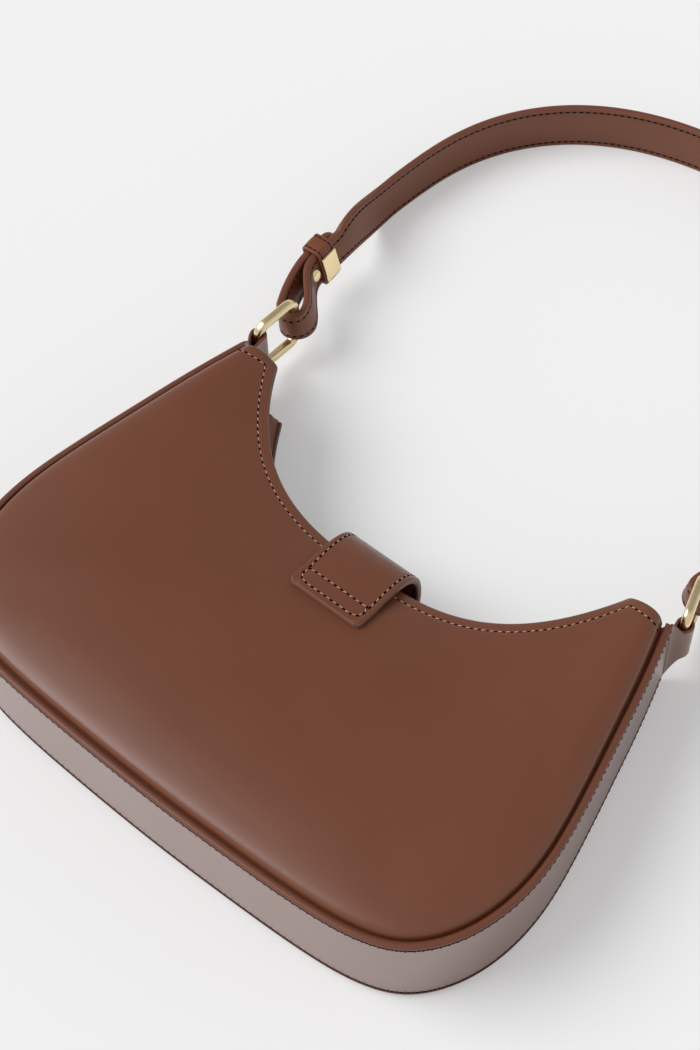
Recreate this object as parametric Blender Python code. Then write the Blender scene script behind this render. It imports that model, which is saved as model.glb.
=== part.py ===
"""Half-moon leather shoulder bag, lying on its front panel with its strap spread on the table.

Metres, +Z up. X runs across the bag, Y runs from the bottom of the bag to the top of the strap, and
Z rises from the table, through the depth of the bag, to the back panel. The drawing is laid out from
the middle of the line between the bag's two strap corners, and an empty then moves the whole bag so
that its bounding box stands centred on the origin.
"""

import math

import bmesh
import bpy
import numpy as np
from mathutils import Matrix, Vector
from mathutils.bvhtree import BVHTree

# Body outline
BODY_WIDTH = 0.260
BODY_HEIGHT = 0.177
CORNER_INSET = 0.0222
HORN_WIDTH = 0.0199
MOUTH_DIP = 0.0503
DEPTH_AT_BOTTOM = 0.0455
DEPTH_AT_TOP = 0.042
FRONT_RIM_LIFT = 0.002

# Leather, boards and lining
PANEL_LEATHER = 0.0012
GUSSET_LEATHER = 0.0013
STRAP_LEATHER = 0.0013
TAB_LEATHER = 0.0014
BOARD_THICKNESS = 0.0012
STIFFENER_THICKNESS = 0.0010
LINING_THICKNESS = 0.0008
PADDING_DEPTH = 0.0050
SEAM_ALLOWANCE = 0.0050
GAP = 0.0003

# Panel form
RIM_HEIGHT = 0.0018
GROOVE_WIDTH = 0.0007
SHOULDER_WIDTH = 0.0050
SHOULDER_RADIUS = 0.0012
BACK_CROWN = 0.0050
FRONT_CROWN = 0.0030
MOUTH_SAG = 0.0060
MOUTH_SAG_POWER = 4.5
CROWN_PEAK_POWER = 0.6
CROWN_FULLNESS = 0.7

# Gusset ends that hold the rings
LOOP_WIDTH = 0.0200
LOOP_CLEARANCE = 0.0005
LOOP_RETURN = 0.0080
LOOP_WRAP_DEG = 17.7
LEFT_LOOP_REACH = 0.0141
LEFT_LOOP_LEAN_DEG = 12.3
RIGHT_LOOP_REACH = 0.0099
RIGHT_LOOP_LEAN_DEG = 4.0

# Rings
RING_LENGTH = 0.0213
RING_HEIGHT = 0.0258
RING_CORNER = 0.0040
WIRE_WIDTH = 0.0039
WIRE_CHAMFER = 0.0010
LEFT_RING_LEAN_DEG = 4.5
RIGHT_RING_LEAN_DEG = 16.5

# Strap
STRAP_WIDTH = 0.0240
STRAP_END_WIDTH = 0.0140
STRAP_FOLD_CLEARANCE = 0.0010
STRAP_FOLD_SLACK = 0.0024
ARCH_SPREAD = 0.0166
ARCH_START = 0.1200
ARCH_RISE = 0.1125
ARCH_POWER = 2.3
KEEPER_DISTANCE = 0.0350
KEEPER_SIDE_DEG = 20.5
KEEPER_HEADING_DEG = 2.7
FOLD_START_DEG = -17.0
FOLD_END_DEG = -175.0
LEG_GAP = 0.0004
LEG_STRAIGHT = 0.0116
TIP_REACH = 0.0130
LEAN_START = 0.0040
LEAN_RISE = 0.0200
LEAN_END = 0.0470
LEAN_FALL = 0.0350

# Keeper, its plate and the stud
KEEPER_LENGTH = 0.0100
KEEPER_WALL = 0.0013
KEEPER_CORNER = 0.0019
KEEPER_CLEARANCE = 0.0004
PLATE_LENGTH = 0.0091
PLATE_HEIGHT = 0.0116
PLATE_THICKNESS = 0.0008
PLATE_BEVEL = 0.0003
STUD_SPACING = 0.0036
STUD_HEAD_RADIUS = 0.0028
STUD_HEAD_HEIGHT = 0.0014
STUD_POST_RADIUS = 0.0013
STUD_CAP_RADIUS = 0.0030
STUD_CAP_HEIGHT = 0.0016
STUD_BORE_DEPTH = 0.0009
STUD_EDGE = 0.0004

# Closing tab
TAB_WIDTH = 0.0340
TAB_BACK_OVERLAP = 0.0257
TAB_SEWN_LENGTH = 0.0092
TAB_FRONT_OVERLAP = 0.0157
TAB_FRONT_MARGIN = 0.0027
TAB_BULGE = 0.0135
TAB_TURN_HEIGHT = 0.0235
TAB_CORNER = 0.0030
TAB_TOP_FULLNESS = 1.5
TAB_LEAVES_DEG = -3.0
TAB_FRONT_FULLNESS = 1.15
MAGNET_RADIUS = 0.0045
TAB_MAGNET_THICKNESS = 0.0010
TAB_MAGNET_RECESS = 0.00065
PANEL_MAGNET_THICKNESS = 0.0015
MAGNET_FROM_TIP = 0.0065

# Outline of half the body, as shares of half the width and of the height
LOWER_OUTLINE_SHARES = (
    (0.0, 1.0),
    (0.34, 0.995),
    (0.56, 0.986),
    (0.70, 0.971),
    (0.835, 0.931),
    (0.935, 0.846),
    (0.99, 0.727),
)
# The side above it, as shares of the way from the widest line to the corner, and of the height
UPPER_OUTLINE_SHARES = ((0.0, 0.63), (0.142, 0.477), (0.465, 0.279), (0.735, 0.127), (1.0, 0.0))
MOUTH_ROUNDNESS_SHARE = 0.30
SHOULDER_STEP_SHARES = (0.0, 0.12, 0.32, 1.0)
PANEL_STEP_SHARES = (0.1, 0.28, 0.5, 0.75, 1.0)
FLAT_MOUTH_SHARE = 0.22
LOOP_TAPER_SHARE = 0.85
STRAP_LEAN_SHARE = 0.28
SETTLE_START_SHARE = 0.10

# Counts
STATIONS = 44
FINE_STEPS = 1500
ARCH_STATIONS = 34
FOLD_STATIONS = 9
LEG_STATIONS = 6
LOOP_ARC_STATIONS = 8
LOOP_LEG_STATIONS = 4
RING_CORNER_STEPS = 5
KEEPER_CORNER_STEPS = 4
ROUND_STEPS = 20
TAB_SEAT_STATIONS = 4
TAB_TURN_STATIONS = 8
CORNER_STEPS = 4

# Worked-out sizes
TAB_BACK_REACH = MOUTH_DIP + TAB_BACK_OVERLAP
TAB_SPLIT = TAB_BACK_REACH - TAB_SEWN_LENGTH
TAB_FRONT_REACH = MOUTH_DIP + TAB_FRONT_OVERLAP
TAB_LEAVES_FRONT = MOUTH_DIP + TAB_FRONT_MARGIN
TAB_OUTER_REACH = MOUTH_DIP - TAB_BULGE
MAGNET_REACH = TAB_FRONT_REACH - MAGNET_FROM_TIP
CORNER_SPAN = BODY_WIDTH - 2 * CORNER_INSET
MOUTH_SPAN = CORNER_SPAN - 2 * HORN_WIDTH
ARCH_HALF_WIDTH = CORNER_SPAN / 2 + ARCH_SPREAD
STRAP_THICKNESS = 2 * STRAP_LEATHER + GAP
TAB_THICKNESS = 2 * TAB_LEATHER + GAP
PIVOT_HEIGHT = FRONT_RIM_LIFT + DEPTH_AT_TOP / 2
FLANGE_OUTER = GUSSET_LEATHER + GAP
FLANGE_INNER = FLANGE_OUTER + PANEL_LEATHER
GROOVE_INNER = FLANGE_INNER + GROOVE_WIDTH
LINING_INSET = FLANGE_OUTER + max(GUSSET_LEATHER, PANEL_LEATHER, STIFFENER_THICKNESS) + GAP
PANEL_EDGE_DEPTH = RIM_HEIGHT + PANEL_LEATHER
BOX_FRONT = -BODY_HEIGHT
BOX_BACK = ARCH_START + ARCH_RISE + STRAP_THICKNESS / 2

COLOURS = {
    "leather": ((0.155, 0.054, 0.028), 0.38, 0.0),
    "lining": ((0.052, 0.030, 0.022), 0.85, 0.0),
    "foam": ((0.62, 0.58, 0.50), 0.90, 0.0),
    "board": ((0.24, 0.17, 0.11), 0.80, 0.0),
    "gold": ((0.83, 0.61, 0.30), 0.18, 1.0),
    "magnet": ((0.45, 0.45, 0.46), 0.35, 1.0),
}


def clear_scene():
    for item in list(bpy.data.objects):
        bpy.data.objects.remove(item, do_unlink=True)


def material(kind):
    """A Principled material of this kind, made once."""
    found = bpy.data.materials.get(kind)
    if found:
        return found
    colour, roughness, metallic = COLOURS[kind]
    made = bpy.data.materials.new(kind)
    made.use_nodes = True
    shader = made.node_tree.nodes["Principled BSDF"]
    shader.inputs["Base Color"].default_value = (*colour, 1.0)
    shader.inputs["Roughness"].default_value = roughness
    shader.inputs["Metallic"].default_value = metallic
    made.diffuse_color = (*colour, 1.0)
    return made


def new_object(name, points, faces, kind, parent=None, smooth_deg=40.0):
    """An object from points and faces, with its faces turned outwards."""
    mesh = bpy.data.meshes.new(name)
    mesh.from_pydata([tuple(p) for p in points], [], faces)
    work = bmesh.new()
    work.from_mesh(mesh)
    bmesh.ops.recalc_face_normals(work, faces=work.faces)
    work.to_mesh(mesh)
    work.free()
    mesh.shade_smooth()
    mesh.set_sharp_from_angle(angle=math.radians(smooth_deg))
    made = bpy.data.objects.new(name, mesh)
    bpy.context.scene.collection.objects.link(made)
    if kind:
        mesh.materials.append(material(kind))
    made.parent = parent
    return made


def empty_at(name, place, parent=None):
    made = bpy.data.objects.new(name, None)
    bpy.context.scene.collection.objects.link(made)
    made.parent = parent
    made.location = place
    return made


def seat_on(made, axis_empty):
    """Hangs an object, drawn in the bag's own frame, on an empty that stands on its joint's axis."""
    place = Vector(axis_empty.location)
    made.data.transform(Matrix.Translation(-place))
    made.parent = axis_empty


def sheet(name, upper, lower, kind, parent=None):
    """A closed solid between two grids of points, which have the same rows and columns."""
    upper = np.asarray(upper, float)
    lower = np.asarray(lower, float)
    rows, columns = upper.shape[:2]
    count = rows * columns
    points = np.concatenate([upper.reshape(-1, 3), lower.reshape(-1, 3)])
    faces = []
    for r in range(rows - 1):
        for c in range(columns - 1):
            a = r * columns + c
            b = a + 1
            d = a + columns
            faces.append((a, b, d + 1, d))
            faces.append((count + a, count + d, count + d + 1, count + b))
    border = [c for c in range(columns)]
    border += [r * columns + columns - 1 for r in range(1, rows)]
    border += [(rows - 1) * columns + c for c in range(columns - 2, -1, -1)]
    border += [r * columns for r in range(rows - 2, 0, -1)]
    for k, here in enumerate(border):
        after = border[(k + 1) % len(border)]
        faces.append((here, count + here, count + after, after))
    return new_object(name, points, faces, kind, parent)


def closed_tube(name, loops, kind, parent=None, smooth_deg=40.0):
    """A ring-shaped solid through closed loops of points, the last joined to the first."""
    loops = np.asarray(loops, float)
    count, around = loops.shape[:2]
    faces = []
    for k in range(count):
        for j in range(around):
            here = k * around + j
            beside = k * around + (j + 1) % around
            over = ((k + 1) % count) * around
            faces.append((here, beside, over + (j + 1) % around, over + j))
    return new_object(name, loops.reshape(-1, 3), faces, kind, parent, smooth_deg)


def turned(name, profile, matrix, kind, parent=None, end=None):
    """A solid turned about its own +Z from (radius, height) points that start and end on the axis.

    With an end of the strap it leans like the strap there.
    """
    points = []
    rings = []
    for radius, height in profile:
        if radius == 0:
            rings.append([len(points)])
            points.append((0.0, 0.0, height))
            continue
        ring = []
        for k in range(ROUND_STEPS):
            angle = math.tau * k / ROUND_STEPS
            ring.append(len(points))
            points.append((radius * math.cos(angle), radius * math.sin(angle), height))
        rings.append(ring)
    faces = []
    for low, high in zip(rings, rings[1:]):
        for k in range(ROUND_STEPS):
            after = (k + 1) % ROUND_STEPS
            if len(low) == 1:
                faces.append((low[0], high[after], high[k]))
            elif len(high) == 1:
                faces.append((low[k], low[after], high[0]))
            else:
                faces.append((low[k], low[after], high[after], high[k]))
    placed = [matrix @ Vector(p) for p in points]
    if end:
        placed = end.leaned(placed)
    return new_object(name, placed, faces, kind, parent)


def cutter(name, radius, length, matrix):
    """A hidden cylinder for a Boolean, centred on the matrix and along its Z."""
    profile = ((0, -length / 2), (radius, -length / 2), (radius, length / 2), (0, length / 2))
    made = turned(name, profile, matrix, None)
    made.hide_render = True
    made.display_type = "WIRE"
    return made


def cut(target, tool):
    modifier = target.modifiers.new("Cut " + tool.name, "BOOLEAN")
    modifier.operation = "DIFFERENCE"
    modifier.solver = "EXACT"
    modifier.object = tool


def smoothstep(share):
    share = np.clip(share, 0.0, 1.0)
    return share * share * (3 - 2 * share)


def natural_spline(points):
    """A fine polyline along the natural cubic spline through the points."""
    points = np.asarray(points, float)
    knots = np.concatenate(([0.0], np.cumsum(np.linalg.norm(np.diff(points, axis=0), axis=1))))
    step = np.diff(knots)
    size = len(points)
    matrix = np.eye(size)
    right = np.zeros_like(points)
    slope = np.diff(points, axis=0) / step[:, None]
    for k in range(1, size - 1):
        matrix[k, k - 1 : k + 2] = step[k - 1], 2 * (step[k - 1] + step[k]), step[k]
        right[k] = 6 * (slope[k] - slope[k - 1])
    bend = np.linalg.solve(matrix, right)
    fine = np.linspace(0.0, knots[-1], FINE_STEPS)
    span = np.clip(np.searchsorted(knots, fine, side="right") - 1, 0, size - 2)
    width = step[span][:, None]
    along = (fine - knots[span])[:, None]
    left = width - along
    cubic = bend[span] * left**3 + bend[span + 1] * along**3
    straight = (points[span] / width - bend[span] * width / 6) * left
    return cubic / (6 * width) + straight + (points[span + 1] / width - bend[span + 1] * width / 6) * along


def resampled(line, count, bend_share=0.0):
    """Points spaced evenly along a fine line, drawn closer by bend_share where it turns."""
    line = np.asarray(line, float)
    step = np.diff(line, axis=0)
    length = np.linalg.norm(step, axis=1)
    heading = np.unwrap(np.arctan2(step[:, 1], step[:, 0]))
    turning = np.abs(np.diff(heading, prepend=heading[0]))
    weight = (1 - bend_share) * length / length.sum() + bend_share * turning / max(turning.sum(), GAP)
    place = np.concatenate(([0.0], np.cumsum(weight)))
    wanted = np.linspace(0.0, place[-1], count)
    return np.stack([np.interp(wanted, place, line[:, k]) for k in range(line.shape[1])], axis=1)


def hermite(start, start_heading, end, end_heading, count, fullness=1.0):
    """Points on a smooth curve between two places with given headings in radians."""
    start, end = np.asarray(start, float), np.asarray(end, float)
    reach = fullness * np.linalg.norm(end - start)
    leave = reach * np.array([math.cos(start_heading), math.sin(start_heading)])
    arrive = reach * np.array([math.cos(end_heading), math.sin(end_heading)])
    t = np.linspace(0.0, 1.0, count)[:, None]
    return (
        (2 * t**3 - 3 * t**2 + 1) * start
        + (t**3 - 2 * t**2 + t) * leave
        + (3 * t**2 - 2 * t**3) * end
        + (t**3 - t**2) * arrive
    )


def left_normals(line):
    """Unit normals on the left hand of a line of 2-D points."""
    heading = np.gradient(line, axis=0)
    heading /= np.linalg.norm(heading, axis=1)[:, None]
    return np.stack([-heading[:, 1], heading[:, 0]], axis=1)


class Body:
    """The bag's outline, its mouth and the lines that run from one to the other."""

    def __init__(self):
        half, corner = BODY_WIDTH / 2, CORNER_SPAN / 2
        right = [(half * x, -BODY_HEIGHT * y) for x, y in LOWER_OUTLINE_SHARES]
        right += [(half + (corner - half) * x, -BODY_HEIGHT * y) for x, y in UPPER_OUTLINE_SHARES]
        left = [(-x, y) for x, y in right[:0:-1]]
        fine = natural_spline(left + right)
        self.outline = resampled(fine, STATIONS + 1, bend_share=0.5)
        across = np.linspace(-1.0, 1.0, FINE_STEPS)
        dip = 1 - MOUTH_ROUNDNESS_SHARE * across**2 - (1 - MOUTH_ROUNDNESS_SHARE) * across**4
        mouth = np.stack([across * MOUTH_SPAN / 2, -MOUTH_DIP * dip], axis=1)
        self.mouth = resampled(mouth, STATIONS + 1)
        tangent = np.gradient(self.outline, axis=0)
        tangent[0] = fine[1] - fine[0]
        tangent[-1] = fine[-1] - fine[-2]
        tangent /= np.linalg.norm(tangent, axis=1)[:, None]
        self.tangent = tangent
        self.inward = np.stack([-tangent[:, 1], tangent[:, 0]], axis=1)
        ruled = self.mouth - self.outline
        self.reach = np.linalg.norm(ruled, axis=1)
        self.ruled = ruled / self.reach[:, None]
        self.slant = (self.ruled * self.inward).sum(axis=1)
        along = np.concatenate(([0.0], np.cumsum(np.linalg.norm(np.diff(self.outline, axis=0), axis=1))))
        self.from_corner = np.minimum(along, along[-1] - along)

    def inset(self, depth):
        """The outline drawn in by a depth square to it, station by station."""
        return self.outline + self.ruled * (depth / self.slant)[:, None]

    def panel_length(self):
        """What is left of each line, from the inner side of the groove to the mouth."""
        return self.reach - GROOVE_INNER / self.slant

    def back_rim(self, places):
        share = -places[:, 1] / BODY_HEIGHT
        return FRONT_RIM_LIFT + DEPTH_AT_TOP + (DEPTH_AT_BOTTOM - DEPTH_AT_TOP) * share

    def rim(self, places, back):
        return self.back_rim(places) if back else np.full(len(places), FRONT_RIM_LIFT)


def panel_distances(body):
    """For each row of a panel, the distance from the groove along each station's line."""
    length = body.panel_length()
    shoulder = np.minimum(SHOULDER_WIDTH, length - SEAM_ALLOWANCE - GAP)
    rest = length - SEAM_ALLOWANCE - shoulder
    rows = [shoulder * share for share in SHOULDER_STEP_SHARES]
    rows += [shoulder + rest * share for share in PANEL_STEP_SHARES]
    rows.append(length)
    return rows


def mouth_sag(body, distance):
    """How far the panel falls in towards the other one, which is most in the middle of the mouth."""
    across = np.abs(body.mouth[:, 0]) / (MOUTH_SPAN / 2)
    width = 1 - smoothstep((across - FLAT_MOUTH_SHARE) / (1 - FLAT_MOUTH_SHARE))
    return MOUTH_SAG * width * (distance / body.panel_length()) ** MOUTH_SAG_POWER


def row_places(body, distance):
    start = body.inset(GROOVE_INNER)
    return start + body.ruled * distance[:, None]


def panel_face(body, distance, back):
    """Heights of the panel's outer face on one row."""
    share = distance / body.panel_length()
    crown = BACK_CROWN if back else FRONT_CROWN
    swell = crown * np.sin(np.pi * np.clip(share, 0, 1) ** CROWN_PEAK_POWER) ** CROWN_FULLNESS
    groove = RIM_HEIGHT * np.exp(-distance / SHOULDER_RADIUS)
    outward = swell - groove - mouth_sag(body, distance)
    rim = body.rim(row_places(body, distance), back)
    return rim + outward if back else np.maximum(rim - outward, 0.0)


def stack_rows(rows):
    """A grid from rows of (places, heights)."""
    return np.stack([np.column_stack([places, heights]) for places, heights in rows])


def make_panel(name, body, back, root):
    """A leather panel: its turned-up rim, the groove inside it and the swelling face."""
    side = 1 if back else -1
    upper, lower = [], []
    for depth in (FLANGE_OUTER, FLANGE_INNER):
        places = body.inset(depth)
        rim = body.rim(places, back)
        upper.append((places, rim))
        lower.append((places, rim - side * PANEL_EDGE_DEPTH))
    places = body.inset(FLANGE_INNER + GROOVE_WIDTH / 2)
    rim = body.rim(places, back)
    upper.append((places, rim - side * RIM_HEIGHT))
    lower.append((places, rim - side * PANEL_EDGE_DEPTH))
    for distance in panel_distances(body):
        places = row_places(body, distance)
        face = panel_face(body, distance, back)
        upper.append((places, face))
        lower.append((places, face - side * PANEL_LEATHER))
    return sheet(name, stack_rows(upper), stack_rows(lower), "leather", root)


def padding_floor(body, distance, back):
    """Heights of the padding's inner side, where the board lies."""
    side = 1 if back else -1
    rim = body.rim(row_places(body, distance), back)
    return rim - side * (PADDING_DEPTH + mouth_sag(body, distance))


def make_padding(name, body, back, root):
    side = 1 if back else -1
    upper, lower = [], []
    for distance in panel_distances(body)[1:-1]:
        places = row_places(body, distance)
        face = panel_face(body, distance, back)
        upper.append((places, face - side * (PANEL_LEATHER + GAP)))
        lower.append((places, padding_floor(body, distance, back)))
    return sheet(name, stack_rows(upper), stack_rows(lower), "foam", root)


def make_board(name, body, back, root):
    side = 1 if back else -1
    upper, lower = [], []
    for distance in panel_distances(body)[1:-1:2]:
        places = row_places(body, distance)
        floor = padding_floor(body, distance, back)
        upper.append((places, floor - side * GAP))
        lower.append((places, floor - side * (GAP + BOARD_THICKNESS)))
    return sheet(name, stack_rows(upper), stack_rows(lower), "board", root)


def make_lining(body, root):
    """The cloth bag inside: up the back, across the gusset and down the front, open at the mouth."""
    outer, inner = [], []

    def side_rows(back):
        side = 1 if back else -1
        rows = []
        distances = panel_distances(body)
        edge = distances[-1]
        seam = edge - SEAM_ALLOWANCE + 2 * GAP
        face = panel_face(body, edge, back) - side * (PANEL_LEATHER + GAP)
        rows.append((row_places(body, edge), face, side))
        depth = side * (2 * GAP + BOARD_THICKNESS)
        for distance in (seam, *distances[-3:1:-2]):
            rows.append((row_places(body, distance), padding_floor(body, distance, back) - depth, side))
        return rows

    def add(places, heights, side):
        outer.append((places, heights))
        inner.append((places, heights - side * LINING_THICKNESS))

    for places, heights, side in side_rows(True):
        add(places, heights, side)
    corners = []
    for back in (True, False):
        side = 1 if back else -1
        wall, face = body.inset(LINING_INSET), body.inset(LINING_INSET + LINING_THICKNESS)
        depth = PADDING_DEPTH + 2 * GAP + BOARD_THICKNESS
        height = body.rim(wall, back) - side * depth
        corners.append(((wall, height), (face, body.rim(face, back) - side * (depth + LINING_THICKNESS))))
    for outside, inside in corners:
        outer.append(outside)
        inner.append(inside)
    for places, heights, side in reversed(side_rows(False)):
        add(places, heights, side)
    return sheet("lining", stack_rows(outer), stack_rows(inner), "lining", root)


class End:
    """One end of the strap with its ring: the places of its pivots, fold and keeper, seen from above."""

    def __init__(self, name, side, reach, loop_lean_deg, ring_lean_deg):
        self.name = name
        self.side = side
        self.reach = reach
        corner = np.array([CORNER_SPAN / 2, 0.0])
        lean = math.radians(loop_lean_deg)
        self.near = corner + reach * np.array([math.sin(lean), math.cos(lean)])
        lean = math.radians(ring_lean_deg)
        self.ring_way = np.array([-math.sin(lean), math.cos(lean)])
        self.far = self.near + RING_LENGTH * self.ring_way
        lean = math.radians(KEEPER_SIDE_DEG)
        self.keeper = self.far + KEEPER_DISTANCE * np.array([math.sin(lean), math.cos(lean)])
        self.heading = math.radians(90.0 - KEEPER_HEADING_DEG)
        self.way = np.array([math.cos(self.heading), math.sin(self.heading)])
        self.inside = np.array([-self.way[1], self.way[0]])

    def placed(self, points):
        """Points of the right-hand drawing, mirrored for the left end."""
        return np.asarray(points, float) * np.array([self.side, 1.0])

    def leaned(self, points):
        """Points of the strap's end by the keeper, with the strap's upper edge leaned away from the bag."""
        points = np.array(points, float)
        beyond = points[..., 1] - self.far[1]
        slope = STRAP_LEAN_SHARE * smoothstep((beyond + LEAN_START) / LEAN_RISE)
        slope = slope * (1 - smoothstep((beyond - LEAN_END) / LEAN_FALL))
        mine = np.sign(points[..., 0]) == self.side
        points[..., 0] += self.side * np.where(mine, slope, 0.0) * (points[..., 2] - PIVOT_HEIGHT)
        return points

    def axis_frame(self, place, height):
        """A frame at a place by the keeper: its X points into the bag, its Y along the strap and its Z up."""
        inside = self.placed(self.inside)
        way = self.placed(self.way)
        spot = self.placed(place)
        frame = Matrix.Identity(4)
        frame.col[0] = (*inside, 0.0, 0.0)
        frame.col[1] = (*way, 0.0, 0.0)
        frame.col[3] = (*spot, height, 1.0)
        return frame


LEFT = End("left", -1, LEFT_LOOP_REACH, LEFT_LOOP_LEAN_DEG, LEFT_RING_LEAN_DEG)
RIGHT = End("right", 1, RIGHT_LOOP_REACH, RIGHT_LOOP_LEAN_DEG, RIGHT_RING_LEAN_DEG)


def loop_line(body, end):
    """The gusset's end from its corner, round the ring's near bar and back inside, for the right hand."""
    tangent, inward = body.tangent[-1], body.inward[-1]
    start = body.outline[-1] + inward * GUSSET_LEATHER / 2
    radius = WIRE_WIDTH / 2 + LOOP_CLEARANCE + GUSSET_LEATHER / 2
    toward = end.near - start
    axis = math.atan2(toward[1], toward[0])
    first, last = axis - math.pi / 2, axis + math.pi / 2 + math.radians(LOOP_WRAP_DEG)
    angles = np.linspace(first, last, LOOP_ARC_STATIONS)
    arc = end.near + radius * np.stack([np.cos(angles), np.sin(angles)], axis=1)
    heading = math.atan2(tangent[1], tangent[0])
    out = hermite(start, heading, arc[0], first + math.pi / 2, LOOP_LEG_STATIONS + 1)
    inside = start + inward * (GUSSET_LEATHER + GAP)
    stop = inside - tangent * LOOP_RETURN
    back = hermite(arc[-1], last + math.pi / 2, stop, heading + math.pi, LOOP_LEG_STATIONS + 1)
    return np.concatenate([out[1:-1], arc, back[1:]])


def make_gusset(body, root):
    """One strip round the side of the bag, whose narrowed ends fold back round the rings."""
    outer = list(body.outline)
    inner = list(body.inset(GUSSET_LEATHER))
    low = [FRONT_RIM_LIFT] * len(outer)
    high = list(body.back_rim(body.outline))
    for end in (RIGHT, LEFT):
        line = loop_line(body, end)
        whole = np.concatenate([body.outline[-1:] + body.inward[-1:] * GUSSET_LEATHER / 2, line])
        side = left_normals(whole)[1:] * GUSSET_LEATHER / 2
        beyond = np.concatenate(([0.0], np.cumsum(np.linalg.norm(np.diff(whole, axis=0), axis=1))))[1:]
        share = smoothstep(beyond / (LOOP_TAPER_SHARE * end.reach))
        bottom = FRONT_RIM_LIFT + (PIVOT_HEIGHT - LOOP_WIDTH / 2 - FRONT_RIM_LIFT) * share
        rim = FRONT_RIM_LIFT + DEPTH_AT_TOP
        top = rim + (PIVOT_HEIGHT + LOOP_WIDTH / 2 - rim) * share
        outside, inside = end.placed(line - side), end.placed(line + side)
        if end is RIGHT:
            outer, inner = outer + list(outside), inner + list(inside)
            low, high = low + list(bottom), high + list(top)
        else:
            outer, inner = list(outside[::-1]) + outer, list(inside[::-1]) + inner
            low, high = list(bottom[::-1]) + low, list(top[::-1]) + high
    outer, inner = np.array(outer), np.array(inner)
    outer_grid = stack_rows([(outer, np.array(low)), (outer, np.array(high))])
    inner_grid = stack_rows([(inner, np.array(low)), (inner, np.array(high))])
    return sheet("gusset", outer_grid, inner_grid, "leather", root)


def make_gusset_stiffener(body, root):
    keep = body.from_corner > LOOP_RETURN + SEAM_ALLOWANCE
    outer = body.inset(FLANGE_OUTER)
    inner = body.inset(FLANGE_OUTER + STIFFENER_THICKNESS)
    low = np.full(len(outer), FRONT_RIM_LIFT + PANEL_EDGE_DEPTH + GAP)
    high = body.back_rim(outer) - PANEL_EDGE_DEPTH - GAP
    outer_grid = stack_rows([(outer[keep], low[keep]), (outer[keep], high[keep])])
    inner_grid = stack_rows([(inner[keep], low[keep]), (inner[keep], high[keep])])
    return sheet("gusset_stiffener", outer_grid, inner_grid, "board", root)


def strap_end_line(end):
    """The strap's end for the right hand, from its tip round the ring to above the keeper."""
    offset = (STRAP_THICKNESS + LEG_GAP) / 2
    outer_leg = end.keeper - end.inside * offset
    inner_leg = end.keeper + end.inside * offset
    radius = WIRE_WIDTH / 2 + STRAP_FOLD_CLEARANCE + STRAP_FOLD_SLACK + STRAP_THICKNESS / 2
    angles = np.radians(np.linspace(FOLD_START_DEG, FOLD_END_DEG, FOLD_STATIONS))
    middle = end.far + end.way * STRAP_FOLD_SLACK
    arc = middle + radius * np.stack([np.cos(angles), np.sin(angles)], axis=1)
    rounding = STRAP_END_WIDTH / 2
    tip = [outer_leg + end.way * (TIP_REACH - rounding * (1 - math.cos(k * math.pi / 2 / CORNER_STEPS)))
           for k in range(CORNER_STEPS + 1)]
    down = hermite(
        outer_leg - end.way * LEG_STRAIGHT, end.heading + math.pi,
        arc[0], angles[0] - math.pi / 2, LEG_STATIONS
    )
    up = hermite(
        arc[-1], angles[-1] - math.pi / 2, inner_leg - end.way * LEG_STRAIGHT, end.heading, LEG_STATIONS
    )
    straight = [inner_leg + end.way * LEG_STRAIGHT * share for share in (0.0, 1.0)]
    return np.concatenate([tip, down, arc[1:-1], up, straight])


def tip_halves():
    """Half widths of the rounded tip, station by station."""
    rounding = STRAP_END_WIDTH / 2
    halves = [rounding * math.sin(max(k, 0.35) * math.pi / 2 / CORNER_STEPS) for k in range(CORNER_STEPS + 1)]
    return np.array(halves)


def strap_line():
    """The whole strap seen from above, with its half width and middle height at each station."""
    ends = {}
    for end in (LEFT, RIGHT):
        line = strap_end_line(end)
        rise = hermite(
            line[-1], end.heading, (ARCH_HALF_WIDTH, ARCH_START), math.pi / 2, LEG_STATIONS + 2
        )[1:]
        half = np.full(len(line), STRAP_END_WIDTH / 2)
        half[: CORNER_STEPS + 1] = tip_halves()
        share = np.linspace(0.0, 1.0, LEG_STATIONS + 2)[1:]
        widening = STRAP_END_WIDTH / 2 + (STRAP_WIDTH - STRAP_END_WIDTH) / 2 * (1 - (1 - share) ** 2)
        fall = smoothstep((share - SETTLE_START_SHARE) / (1 - SETTLE_START_SHARE))
        settling = (PIVOT_HEIGHT - STRAP_END_WIDTH / 2) * (1 - fall) + widening
        middle = np.concatenate([np.full(len(line), PIVOT_HEIGHT), settling])
        ends[end.name] = (end.placed(np.concatenate([line, rise])), np.concatenate([half, widening]), middle)
    turn = np.linspace(0.0, np.pi, FINE_STEPS)
    power = 2 / ARCH_POWER
    arch = np.stack(
        [
            -ARCH_HALF_WIDTH * np.sign(np.cos(turn)) * np.abs(np.cos(turn)) ** power,
            ARCH_START + ARCH_RISE * np.abs(np.sin(turn)) ** power,
        ],
        axis=1,
    )
    arch = resampled(arch, ARCH_STATIONS, bend_share=0.4)[1:-1]
    left, right = ends["left"], ends["right"]
    line = np.concatenate([left[0], arch, right[0][::-1]])
    half = np.concatenate([left[1], np.full(len(arch), STRAP_WIDTH / 2), right[1][::-1]])
    middle = np.concatenate([left[2], np.full(len(arch), STRAP_WIDTH / 2), right[2][::-1]])
    return line, half, middle


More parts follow.
